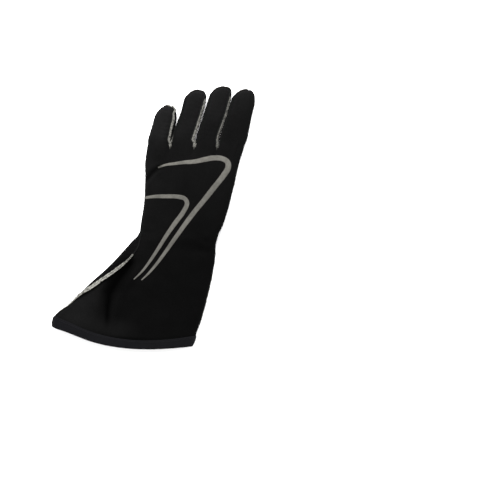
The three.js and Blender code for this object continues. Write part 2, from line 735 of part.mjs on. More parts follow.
// Joins rings of points into one closed surface, with flat ends or round on itself
function closedSweep(points, count, looped) {
  const rings = points.length / count;
  const triangles = [];
  const last = looped ? rings : rings - 1;
  for (let r = 0; r < last; r += 1) {
    for (let i = 0; i < count; i += 1) {
      const [a, b] = [r * count + i, r * count + ((i + 1) % count)];
      const next = ((r + 1) % rings) * count;
      const [c, d] = [next + ((i + 1) % count), next + i];
      triangles.push([a, b, c], [a, c, d]);
    }
  }
  if (!looped) {
    const end = (rings - 1) * count;
    for (let i = 1; i + 1 < count; i += 1) {
      triangles.push([0, i + 1, i], [end, end + i, end + i + 1]);
    }
  }
  const geometry = meshFrom(points, triangles);
  return volumeOf(geometry) < 0 ? turned(geometry) : geometry;
}

function volumeOf(geometry) {
  const position = geometry.getAttribute("position");
  const index = geometry.index.array;
  const [a, b, c] = [new THREE.Vector3(), new THREE.Vector3(), new THREE.Vector3()];
  let volume = 0;
  for (let i = 0; i < index.length; i += 3) {
    a.fromBufferAttribute(position, index[i]);
    b.fromBufferAttribute(position, index[i + 1]);
    c.fromBufferAttribute(position, index[i + 2]);
    volume += a.dot(b.cross(c)) / 6;
  }
  return volume;
}

function turned(geometry) {
  const index = geometry.index.array;
  for (let i = 0; i < index.length; i += 3) [index[i + 1], index[i + 2]] = [index[i + 2], index[i + 1]];
  return geometry;
}

// Side-wall strip of one notch, from the palm seam up to the back seam
function fourchette(index) {
  const [a, b] = [fingers[index], fingers[index + 1]];
  const { back, palm } = notches[index];
  const wallPoint = (row, side, share) => {
    const { palm: low, back: high } = row[side];
    return row.ring.at(lerp(low, high, share));
  };
  const stations = back.map((_, i) => {
    if (i === fork) return {};
    if (i < fork) return { row: a.rows[fork - 1 - i], side: "right" };
    return { row: b.rows[i - fork - 1], side: "left" };
  });
  const points = [];
  const edges = new Map();
  const lines = stations.map((station, i) => {
    const low = edgePoint(palm[i], -1);
    const high = edgePoint(back[i], 1);
    const line = [];
    const add = (point, normal) => {
      points.push(point);
      if (normal) edges.set(points.length - 1, normal);
      line.push(points.length - 1);
    };
    add(low.point, low.normal);
    [0.36, 0.7].forEach((share) => {
      const point = station.row
        ? wallPoint(station.row, station.side, share)
        : palm[i].point.clone().lerp(back[i].point, share).setY(back[i].point.y + 0.35);
      add(point);
    });
    add(high.point, high.normal);
    return line;
  });
  const pointed = (finger, side, line) => {
    const end = finger.rows[fork][side].backPlace.point;
    return line.map((i) => {
      points.push(end.clone().lerp(points[i], 0.6));
      edges.set(points.length - 1, edges.get(line[0]));
      return points.length - 1;
    });
  };
  lines.unshift(pointed(a, "right", lines[0]));
  lines.push(pointed(b, "left", lines[lines.length - 1]));
  const triangles = [];
  for (let r = 0; r + 1 < lines.length; r += 1) {
    for (let i = 0; i < 3; i += 1) {
      const [p, q] = [lines[r], lines[r + 1]];
      triangles.push([p[i], q[i], q[i + 1]], [p[i], q[i + 1], p[i + 1]]);
    }
  }
  return { points, triangles, edges };
}

function facing(sheet, sample, direction) {
  const [a, b, c] = sheet.triangles[sample].map((i) => sheet.points[i]);
  const n = b.clone().sub(a).cross(c.clone().sub(a));
  if (n.dot(direction) < 0) sheet.triangles = sheet.triangles.map(([p, q, r]) => [p, r, q]);
  return sheet;
}

function toSolid(geometry) {
  const bare = geometry.clone();
  bare.deleteAttribute("normal");
  bare.deleteAttribute("uv");
  const merged = mergeVertices(bare, 1e-4);
  return new wasm.Manifold(
    new wasm.Mesh({
      numProp: 3,
      vertProperties: new Float32Array(merged.attributes.position.array),
      triVerts: new Uint32Array(merged.index.array),
    }),
  );
}

function toGeometry(solid) {
  const { vertProperties, triVerts } = solid.getMesh();
  const geometry = new THREE.BufferGeometry();
  geometry.setAttribute("position", new THREE.BufferAttribute(new Float32Array(vertProperties), 3));
  geometry.setIndex(new THREE.BufferAttribute(new Uint32Array(triVerts), 1));
  return geometry;
}

// Upright oval block through the palm and the thumb's root
function ovalBlock(radiusX, radiusY, low, high) {
  const block = new THREE.CylinderGeometry(1, 1, high - low, 28);
  block.rotateX(Math.PI / 2).scale(radiusX, radiusY, 1);
  block.translate(THUMB_HOLE.x, THUMB_HOLE.y, (low + high) / 2);
  return toSolid(block);
}

// Middle, half width and roundness of the thumb at a share of its length
function thumbPlace(share, inset) {
  const length = THUMB_TIP.y - THUMB_REAR.y;
  const fromRear = Math.min(1, (share * length) / 12);
  const fromTip = Math.min(1, ((1 - share) * length) / 15);
  const round = Math.sqrt(Math.max(0, 1 - Math.pow(1 - fromRear, 2.4))) *
    Math.sqrt(Math.max(0, 1 - Math.pow(1 - fromTip, 2.2)));
  return {
    x: lerp(THUMB_REAR.x, THUMB_TIP.x, share),
    y: lerp(THUMB_REAR.y + inset, THUMB_TIP.y - inset, share),
    half: (lerp(THUMB_WIDTH.root, THUMB_WIDTH.end, share) / 2 - inset) * Math.max(0.16, round),
    round,
  };
}

// Flattened thumb, rounded at both ends
function thumbBody(inset) {
  const middle = THUMB_HEIGHT / 2;
  const count = 14;
  const points = THUMB_STEPS.flatMap((share) => {
    const { x, y, half, round } = thumbPlace(share, inset);
    const tall = (middle - inset) * Math.max(0.3, Math.pow(round, 0.6));
    return Array.from({ length: count }, (_, i) => {
      const angle = (2 * Math.PI * i) / count;
      const [c, s] = [Math.cos(angle), Math.sin(angle)];
      const boxX = Math.sign(c) * Math.pow(Math.abs(c), 0.55);
      const boxZ = Math.sign(s) * Math.pow(Math.abs(s), 0.4);
      return new THREE.Vector3(x + half * boxX, y, middle + tall * boxZ);
    });
  });
  return toSolid(closedSweep(points, count, false));
}

// The thumb's seam: up its little side, round the tip and back down its index side
function thumbSeam() {
  const shares = THUMB_STEPS.filter((share) => share > 0.1);
  const middle = THUMB_HEIGHT / 2;
  const side = (sign) => shares.map((share) => {
    const { x, y, half } = thumbPlace(share, 0);
    return seamPlace(new THREE.Vector3(x + sign * half, y, middle), UP.clone().negate());
  });
  const centre = new THREE.Vector3(THUMB_TIP.x, THUMB_TIP.y - 30, middle);
  return finishSeam([...side(-1), ...side(1).reverse()], (place) => place.point.clone().sub(centre));
}

// Binding round the mouth: a U-shaped strip over the edge of both panels
function hemBinding(back, palm) {
  const normalsBack = sheetNormals(back);
  const normalsPalm = sheetNormals(palm);
  const stations = [];
  const take = (sheet, normals, r, c) => ({
    point: sheet.points[sheet.grid[r][c]],
    normal: normals[sheet.grid[r][c]],
  });
  const across = back.grid[0].length;
  const under = palm.grid[0].length;
  const seamStation = (course) => [0, 1].map((r) => ({ point: course[r].point, normal: course[r].outward }));
  stations.push(seamStation(seams.little));
  for (let c = 1; c + 1 < across; c += 1) stations.push([0, 1].map((r) => take(back, normalsBack, r, c)));
  stations.push(seamStation(seams.index));
  for (let c = under - 2; c > 0; c -= 1) stations.push([0, 1].map((r) => take(palm, normalsPalm, r, c)));
  const inside = Math.max(BACK_WALL, PALM_WALL) + BINDING_CLEAR;
  const points = stations.flatMap(([edge, top]) => {
    const beyond = edge.point.clone().sub(top.point).normalize();
    const at = (place, out, past) =>
      place.point.clone().addScaledVector(place.normal, out).addScaledVector(beyond, past);
    const cover = BINDING_CLEAR + BINDING_COVER;
    return [
      at(top, cover, 0), at(edge, cover, cover),
      at(edge, -inside - BINDING_COVER, cover), at(top, -inside - BINDING_COVER, 0),
      at(top, -inside, 0), at(edge, -inside, BINDING_CLEAR),
      at(edge, BINDING_CLEAR, BINDING_CLEAR), at(top, BINDING_CLEAR, 0),
    ];
  });
  return closedSweep(points, 8, true);
}

// Height of the back's outer face above a place
function backHeight(back, x, y) {
  let found = -Infinity;
  back.triangles.forEach(([i, j, k]) => {
    const [a, b, c] = [back.points[i], back.points[j], back.points[k]];
    const area = (b.x - a.x) * (c.y - a.y) - (c.x - a.x) * (b.y - a.y);
    if (area < 1e-6) return;
    const u = ((b.x - x) * (c.y - y) - (c.x - x) * (b.y - y)) / area;
    const v = ((c.x - x) * (a.y - y) - (a.x - x) * (c.y - y)) / area;
    const w = 1 - u - v;
    if (u < -1e-6 || v < -1e-6 || w < -1e-6) return;
    found = Math.max(found, a.z * u + b.z * v + c.z * w);
  });
  return found;
}

// A stripe lying on the back along its table
function stripe(back, table, steps) {
  const course = table.map(({ x, y }) => new THREE.Vector3(x, y, 0));
  const curve = new THREE.CatmullRomCurve3(course, false, "centripetal");
  const places = Array.from({ length: steps + 1 }, (_, i) => {
    const t = i / steps;
    const middle = curve.getPoint(t);
    const tangent = curve.getTangent(t);
    const slot = Math.min(table.length - 2, Math.floor(t * (table.length - 1)));
    const width = lerp(table[slot].width, table[slot + 1].width, t * (table.length - 1) - slot);
    return { middle, side: new THREE.Vector3(-tangent.y, tangent.x, 0).normalize(), width };
  });
  const points = places.flatMap(({ middle, side, width }) =>
    [-0.5, 0, 0.5].map((share) => {
      const p = middle.clone().addScaledVector(side, share * width);
      return p.setZ(backHeight(back, p.x, p.y));
    }),
  );
  const triangles = [];
  for (let r = 0; r + 1 < places.length; r += 1) {
    for (let i = 0; i < 2; i += 1) {
      const a = r * 3 + i;
      triangles.push([a, a + 1, a + 4], [a, a + 4, a + 3]);
    }
  }
  const sheet = facing({ points, triangles, edges: new Map() }, 0, UP);
  points.forEach((_, i) => sheet.edges.set(i, UP));
  return thickSheet(sheet, -STRIPE_LIFT, STRIPE_LIFT + STRIPE_THICK);
}

const glove = new THREE.Group();

function addPiece(name, geometry, look) {
  const mesh = new THREE.Mesh(geometry, new THREE.MeshStandardMaterial(look));
  mesh.name = name;
  glove.add(mesh);
}

const back = combPanel(true);
const palm = combPanel(false);
const hole = ovalBlock(THUMB_HOLE.radiusX, THUMB_HOLE.radiusY, 4.5, 14);
addPiece("back_panel", thickSheet(back, BACK_WALL), BLACK_CLOTH);
addPiece("palm_panel", toGeometry(toSolid(thickSheet(palm, PALM_WALL)).subtract(hole)), PALM_CLOTH);
addPiece("thumb", toGeometry(thumbBody(0).subtract(thumbBody(THUMB_WALL)).subtract(hole)), PALM_CLOTH);

const seamOuter = [THUMB_HOLE.radiusX - 0.32, THUMB_HOLE.radiusY - 0.32];
const seamTop = PALM_OVER_THUMB + PALM_WALL + 0.6;
const rootRing = ovalBlock(...seamOuter, THUMB_HEIGHT - THUMB_WALL, seamTop).subtract(
  ovalBlock(seamOuter[0] - ROOT_SEAM_WALL, seamOuter[1] - ROOT_SEAM_WALL, 0, 20),
);
addPiece("thumb_root_seam", toGeometry(rootRing), DARK_SEAM);
addPiece("seam_thumb", ridge(thumbSeam(), PALM_RIDGE), SEAM_CLOTH);

["little_ring", "ring_middle", "middle_index"].forEach((pair, i) => {
  const strip = facing(fourchette(i), 0, new THREE.Vector3(1, 0, 0));
  addPiece(`fourchette_${pair}`, thickSheet(strip, PALM_WALL), BLACK_CLOTH);
});

// A side seam's ridge starts just above the binding
function aboveBinding(course) {
  const [, first, second] = course;
  const start = { ...first, point: first.point.clone().lerp(second.point, 0.08) };
  return [start, ...course.slice(2)];
}
const littleRidge = aboveBinding(seams.little);
const indexRidge = aboveBinding(seams.index);
const littleHeight = (i) => (i < FLARE_PLACES ? FLARE_RIDGE : SIDE_RIDGE);
addPiece("seam_little_side", ridge(littleRidge, littleHeight), SEAM_CLOTH);
addPiece("seam_index_side", ridge(indexRidge, SIDE_RIDGE), SEAM_CLOTH);
["little_ring", "ring_middle", "middle_index"].forEach((pair, i) => {
  addPiece(`seam_back_${pair}`, ridge(notches[i].back, BACK_RIDGE), SEAM_CLOTH);
  addPiece(`seam_palm_${pair}`, ridge(notches[i].palm, PALM_RIDGE), SEAM_CLOTH);
});
addPiece("stripe_outer", stripe(back, STRIPE_OUTER, 44), STRIPE_GREY);
addPiece("stripe_inner", stripe(back, STRIPE_INNER, 30), STRIPE_GREY);
addPiece("hem_binding", hemBinding(back, palm), BINDING_CLOTH);

// Stand the glove on the surface, centred
const bounds = new THREE.Box3().setFromObject(glove);
const centre = bounds.getCenter(new THREE.Vector3());
glove.position.set(-centre.x, -centre.y, -bounds.min.z);

export default glove;
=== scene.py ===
import math

import bpy
import numpy as np
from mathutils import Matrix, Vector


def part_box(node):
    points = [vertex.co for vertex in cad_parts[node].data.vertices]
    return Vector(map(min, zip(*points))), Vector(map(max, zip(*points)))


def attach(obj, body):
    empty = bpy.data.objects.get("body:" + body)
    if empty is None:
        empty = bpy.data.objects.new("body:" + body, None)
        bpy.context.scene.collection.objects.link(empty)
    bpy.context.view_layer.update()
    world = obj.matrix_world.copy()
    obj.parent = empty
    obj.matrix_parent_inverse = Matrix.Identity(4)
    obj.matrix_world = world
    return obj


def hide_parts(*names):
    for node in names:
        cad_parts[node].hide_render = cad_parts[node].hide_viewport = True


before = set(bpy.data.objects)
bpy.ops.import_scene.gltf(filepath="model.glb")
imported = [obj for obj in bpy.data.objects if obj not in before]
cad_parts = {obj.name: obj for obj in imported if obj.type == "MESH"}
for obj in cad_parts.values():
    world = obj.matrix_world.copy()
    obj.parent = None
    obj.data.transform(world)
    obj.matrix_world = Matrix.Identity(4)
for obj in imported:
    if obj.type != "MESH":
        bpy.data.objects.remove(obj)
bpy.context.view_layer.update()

# Tables and sizes are millimetres on the glove itself: X to the index side, Y to the fingertips,
# Z up from the surface that it lies on. metres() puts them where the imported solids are, by SHIFT, which
# takes the middle of the thumb's hole to the middle of its seam there.
MM = 1000
HOLE_CENTRE = np.array([30.5, 31.0])
HOLE_RADII = np.array([11.0, 11.5])
root_seam_middle = np.mean([list(corner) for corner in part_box("thumb_root_seam")], axis=0) * MM
SHIFT = np.array([*(root_seam_middle[:2] - HOLE_CENTRE), 0.0])

# Cloth: walls, how high the rolled sides lie, how far round a side its seam lies, room for the braid
# under the hem, and the heights between which the palm's side of a piece turns into its upper side
BACK_WALL = 1.9
PALM_WALL = 1.6
THUMB_WALL = 1.6
SIDE_LIFT = 1.6
SIDE_ROLL = -4.0
BINDING_LIFT = 1.5
UPPER_SIDE = (7.5, 14.0)

# Fingers: section of a finger, and the crotch between two of them
FINGER_HEIGHT = 16.5
FINGER_CORNER = 5.0
FINGER_CROWN = 1.2
CROTCH_RADIUS = 1.9
CROTCH_DIP = 1.4
CROTCH_RISE = 3.2
CROTCH_REACH = 26.0
CROTCH_SPREAD = 3.6
KNUCKLES_Y = 127.3
ROOT_BLEND = 10.0
PALM_SEAM_ANGLE = 12.0

# Thumb folded under the palm, drawn in over a length at either end. The hole is cut from its root and
# from the palm between the cut heights, and vertices nearer its edge than the rim's share of the radius
# are moved onto it.
THUMB_HEIGHT = 7.9
PALM_OVER_THUMB = 8.2
THUMB_REAR = (33.0, 13.0)
THUMB_TIP = (11.0, 90.0)
THUMB_WIDTH = (31.0, 25.0)
THUMB_REAR_ROUND = {"length": 12.0, "power": 2.4}
THUMB_TIP_ROUND = {"length": 15.0, "power": 2.2}
THUMB_SEAM_START = 0.11
CUT_HEIGHTS = (5.0, 14.0)
RIM_SHARE = 0.055

# Grid sizes
HAND_ROWS = 200
HAND_ARC_STEPS = 22
HAND_RUN_STEPS = 110
FINGER_ARC_STEPS = 14
FINGER_RUN_STEPS = 28
FINGER_COLUMNS = 34
WALL_COLUMNS = 12
STRAIGHT_ROWS = 54
DOME_ROWS = 18
TIP_ROW = STRAIGHT_ROWS + DOME_ROWS - 1
STRIPE_ROWS = 260
HEM_COLUMNS = 480
THUMB_ROWS = 70
THUMB_COLUMNS = 72
THUMB_SEAM_ROWS = 90
ROOT_SEAM_ROWS = 120

# Silhouette of the little side and of the index side: along, across
LITTLE_SIDE = [
    (-150.5, -127.6), (-146, -129.2), (-142, -129.2), (-135.4, -127.1), (-119.7, -115.4),
    (-88.5, -96.8), (-57, -75.7), (-34, -63), (-19, -55), (-11, -50.4), (-3, -49.4), (9, -50.1),
    (34, -53.7), (59, -58.7), (84, -64.8), (100.4, -66.4),
]
INDEX_SIDE = [
    (-131, 50.2), (-125, 51.6), (-116, 51.6), (-104, 52.8), (-90, 53.3), (-40, 53.2), (-25, 52.8),
    (-12, 51), (1, 48.5), (13, 48.6), (27, 51.4), (54, 52.8), (80, 52.9), (106, 52.1),
    (KNUCKLES_Y, 53.2),
]

# Cross sections from the hem to the knuckles: where each ends on the little and index sides, bow toward
# the hem, radius of the rolled sides, bulge of the back, hang of the palm, roll of the little side's seam
SECTION_KEYS = ("little", "index", "bow", "little_end", "index_end", "rise", "sag", "roll")
SECTIONS = [
    (-150.5, -131, -11.9, 6.5, 7.5, 17, 3, 0.5),
    (-137.5, -118, -15.5, 6.5, 7.5, 16.5, 3, 1.2),
    (-127, -108, -12.8, 6.5, 7.5, 15.5, 3, 2.6),
    (-115, -97, -10.5, 6.5, 7.5, 14.5, 3, 4.2),
    (-102, -84, -9, 6.5, 7.5, 13.5, 3, 6.2),
    (-89, -71, -7, 6.5, 7.5, 12.5, 3, 9.5),
    (-76, -58, -5, 6.5, 7.5, 11.5, 3, 12.5),
    (-64, -45, -3.5, 6.5, 7.5, 10.5, 3, 15.8),
    (-52, -33, -2, 6.5, 7.5, 9.5, 3, 18.5),
    (-41, -22, -1, 6.5, 7.5, 9, 3, 20),
    (-30, -11, 0, 6.8, 7.5, 8.5, 3, 18.5),
    (-19, 0, 0, 7, 7.5, 8, 3, 13),
    (-8, 11, 0, 7.2, 7.5, 7.5, 3, 6),
    (5, 24, 0, 7.4, 7.6, 7, 3, 1),
    (19, 39, 0, 7.6, 7.8, 6.5, 3, -2),
    (34, 55, 0, 7.8, 8, 6, 3, -4),
    (50, 72, 0, 8, 8.1, 5, 2.5, -4),
    (66, 90, 0, 8.1, 8.2, 4, 2, -4),
    (80, 106, 0, 8.2, 8.25, 2.6, 1.5, -4),
    (91, 118, 0, 8.25, 8.25, 1.6, 1, -4),
    (100.4, KNUCKLES_Y, 0, 8.25, 8.25, 1.2, 0, -4),
]
LAST_SECTION = len(SECTIONS) - 1

# Beside the flare's lower corner the hem is drawn up: middle and half width of the place, and how far
HEM_DRAWN = {"x": -104, "half": 21, "rise": 1.4}

# Crotches between the fingers, little side first
CROTCHES = np.array([(-37.8, 106.8), (-7.8, 113.3), (20.6, 119.9)])

# Fingers: side walls near the root and at the start of the tip, tip point, length of the rounded tip,
# how soon each side of the tip turns in (a low power is rounder), and how far up the corner, in degrees,
# each side's back seam lies. None: that side has no side strip.
FINGERS = [
    {"name": "little", "left": (-67.9, -66.9), "right": (-39.4, -40.2), "tip": (-51.5, 157.6), "dome": 20,
     "turn": (2.0, 2.3), "seams": (None, 72)},
    {"name": "ring", "left": (-36.4, -33.2), "right": (-12, -9.8), "tip": (-17.8, 186.0), "dome": 18,
     "turn": (2.0, 3.2), "seams": (22, 50)},
    {"name": "middle", "left": (-6.2, -3.6), "right": (17.9, 20.8), "tip": (12.8, 198.2), "dome": 19,
     "turn": (2.0, 3.2), "seams": (22, 50)},
    {"name": "index", "left": (22.8, 25.2), "right": (54.3, 53.3), "tip": (43, 201.8), "dome": 20,
     "turn": (2.0, 2.2), "seams": (22, None)},
]

# Notches, little side first: width and lean of the back seam on the finger that it comes down, how far
# up the next finger it stays pale, how pale it is, and how much flatter and darker it gets at the tips
NOTCHES = [
    {"name": "little_ring", "broad": 2.1, "lean": -0.8, "rising": 13, "pale": 0.56, "flat": 0.1, "dark": 0},
    {"name": "ring_middle", "broad": 2.9, "lean": -2.0, "rising": 6, "pale": 0.46, "flat": 0.55, "dark": 1},
    {"name": "middle_index", "broad": 2.0, "lean": -1.3, "rising": 6, "pale": 0.3, "flat": 0.55, "dark": 1},
]

# Gathers of the cloth beside its seams: pitch, where they are strongest, their height and the valley's
GATHERS = {"pitch": 6.4, "reach": 3.0, "height": 0.2, "valley": 0.25}

# Raw-edge seams: distance between sections, the two-ply section as shares of the width and height, the
# ends of the pale flap on the flare, upward tilt of the flap at each fingertip, columns of a fingertip
# that two seams share, reach of a seam's tail between the fingers and on the hand
SEAM_STEP = 0.55
FLAP_ACROSS, FLAP_UP = np.array([
    (-0.42, -0.14), (-0.45, 0.14), (-0.5, 0.4), (-0.56, 0.72), (-0.52, 0.94), (-0.34, 1),
    (-0.15, 0.94), (0, 0.74), (0.15, 0.94), (0.34, 1), (0.52, 0.94), (0.56, 0.72), (0.5, 0.4),
    (0.45, 0.14), (0.42, -0.14), (0, -0.16),
]).T
FLARE_TOP = -36.0
FLARE_FOOT = -129.0
TIP_RISE = [0.9, 0.0, 0.0, 0.0]
SHARED_COLUMNS = 7
TAIL_REACH = (6.5, -2.6)

# Stripes on the back: course of the middle line and full width, and the section as shares of the width
# and heights over the cloth
STRIPE_OUTER = [
    (-46, 78, 1.9), (-37, 83.8, 3.3), (-26.6, 87.8, 3.9), (-14.6, 92.3, 4.8), (-2.4, 96.3, 5.9),
    (9.3, 101.9, 6.6), (20, 106.7, 6.8), (30.4, 108.4, 6.9), (38.2, 105.8, 7.2), (40.6, 99, 7.4),
    (37.4, 88, 7.2), (29.2, 69.7, 6.9), (21.2, 52, 6.6), (13, 34.8, 6.3), (5.4, 17, 6.0),
    (-2.6, -3.2, 5.4), (-10.6, -23.6, 4.6), (-18.2, -42, 3.7), (-25, -55.4, 2.8), (-31.4, -65.6, 1.3),
]
STRIPE_INNER = [
    (-53.2, 36.6, 3.0), (-50, 38, 3.6), (-40, 41.6, 4.6), (-28.9, 44.4, 5.2), (-12, 48, 5.5),
    (-3, 47.6, 5.6), (1.2, 42.6, 5.8), (-0.8, 31, 6.0), (-6.9, 16.2, 5.8), (-13.2, 0.2, 5.2),
    (-19.9, -19.8, 4.5), (-26.8, -39.4, 3.6), (-33.4, -54.8, 2.7), (-41, -67, 1.3),
]
STRIPE_ACROSS, STRIPE_LIFT = np.array([
    (-0.5, -0.45), (-0.5, 0.3), (-0.47, 0.72), (-0.38, 0.86), (-0.2, 0.9), (0, 0.9), (0.2, 0.9),
    (0.38, 0.86), (0.47, 0.72), (0.5, 0.3), (0.5, -0.45), (0.2, -0.45), (-0.2, -0.45),
]).T

# Braid on the hem: how far it stands off the cloth outside and inside, and its thickness. Its stitches:
# their row as a share of the braid's width, pitch, length and radius
BRAID_COVER = 1.45
BRAID_GAP = 0.35
BRAID_THICK = 1.1
STITCHES = {"row": 0.78, "pitch": 3.4, "length": 2.5, "thick": 0.28}

# Creases that the whole glove shares: course, depth and half width. The first is the fold beside the
# flare and the fourth the pucker below the little finger.
PUCKER = 3
CREASES = [
    {"course": [(-46, -38), (-52, -54), (-62, -76), (-67, -93), (-65, -110), (-61, -136)],
     "depth": 8.0, "half": 6.5},
    {"course": [(-36, -52), (-30, -80), (-24, -112)], "depth": -1.6, "half": 13.0},
    {"course": [(-90, -92), (-94, -112), (-98, -132)], "depth": -1.4, "half": 11.0},
    {"course": [(-38, 81), (-46, 77), (-52, 69), (-57, 58), (-60, 46)], "depth": 2.6, "half": 2.8},
    {"course": [(-47, -2), (-38, -6), (-26, -5)], "depth": 1.1, "half": 3.6},
    {"course": [(46, 6), (36, 2), (24, 5)], "depth": 1.1, "half": 4.0},
    {"course": [(46, -14), (34, -10), (20, -14)], "depth": 0.8, "half": 4.0},
]


def smooth(value, start, end):
    """0 before start, 1 after end, 3t^2 - 2t^3 between."""
    t = np.clip((np.asarray(value, float) - start) / (end - start), 0, 1)
    return t * t * (3 - 2 * t)


def lerp(a, b, t):
    """The value a share t of the way from a to b."""
    return a + (b - a) * t


def bell(value, middle, half):
    """Bell curve: 1 at the middle and 1/e at half from it."""
    return np.exp(-(((value - middle) / half) ** 2))


def cubic(t, step, values, slopes, i):
    """Cubic from value i to the next one over a step, by its slopes at both, at a share t of the way."""
    ends = values[i] * (1 + 2 * t) * (1 - t) ** 2 + values[i + 1] * t * t * (3 - 2 * t)
    return ends + step * (slopes[i] * t * (1 - t) ** 2 - slopes[i + 1] * t * t * (1 - t))


def curve_through(places, values):
    """Smooth curve through points: a cubic on each stretch, with the harmonic mean of the two chords
    as the slope at a point, and no slope where the chords turn. Returns a function of an array."""
    places, values = np.asarray(places, float), np.asarray(values, float)
    steps = np.diff(places)
    chords = np.diff(values) / steps
    product = chords[1:] * chords[:-1]
    total = np.where(product > 0, chords[1:] + chords[:-1], 1)
    slopes = np.concatenate([chords[:1], np.where(product > 0, 2 * product / total, 0), chords[-1:]])

    def value(place):
        place = np.clip(place, places[0], places[-1])
        i = np.clip(np.searchsorted(places, place, side="right") - 1, 0, len(places) - 2)
        return cubic((place - places[i]) / steps[i], steps[i], values, slopes, i)

    return value


def spline(marks, values, places):
    """Cubic through the points whose slope at each is that of its neighbours' chord."""
    slopes = np.gradient(values, marks)
    i = np.clip(np.searchsorted(marks, places, side="right") - 1, 0, len(marks) - 2)
    step = marks[i + 1] - marks[i]
    return cubic((places - marks[i]) / step, step, values, slopes, i)


def unit(vectors):
    """Vectors scaled to length one along the last axis."""
    return vectors / np.maximum(np.linalg.norm(vectors, axis=-1, keepdims=True), 1e-9)


def walk(path):
    """Distance from the start of a path to each of its points. In a grid each row is a path."""
    steps = np.linalg.norm(np.diff(path, axis=-2), axis=-1)
    return np.concatenate([np.zeros_like(steps[..., :1]), np.cumsum(steps, axis=-1)], axis=-1)


def sample(path, walked, places):
    """Points of a path, or vectors given along it, at other distances from its start."""
    return np.stack([np.interp(places, walked, path[:, k]) for k in range(3)], axis=-1)


LITTLE_X = curve_through(*zip(*LITTLE_SIDE))
INDEX_X = curve_through(*zip(*INDEX_SIDE))
SECTION_CURVES = {
    key: curve_through(range(len(SECTIONS)), column) for key, column in zip(SECTION_KEYS, zip(*SECTIONS))
}


def floor_height(x, y):
    """Height of the palm's underside where it lies on the thumb, sloping to nothing round it."""
    across = smooth(x, -42, -4)
    along = smooth(y, -12, 9) * (1 - smooth(y, 95, 152))
    return PALM_OVER_THUMB * across * along


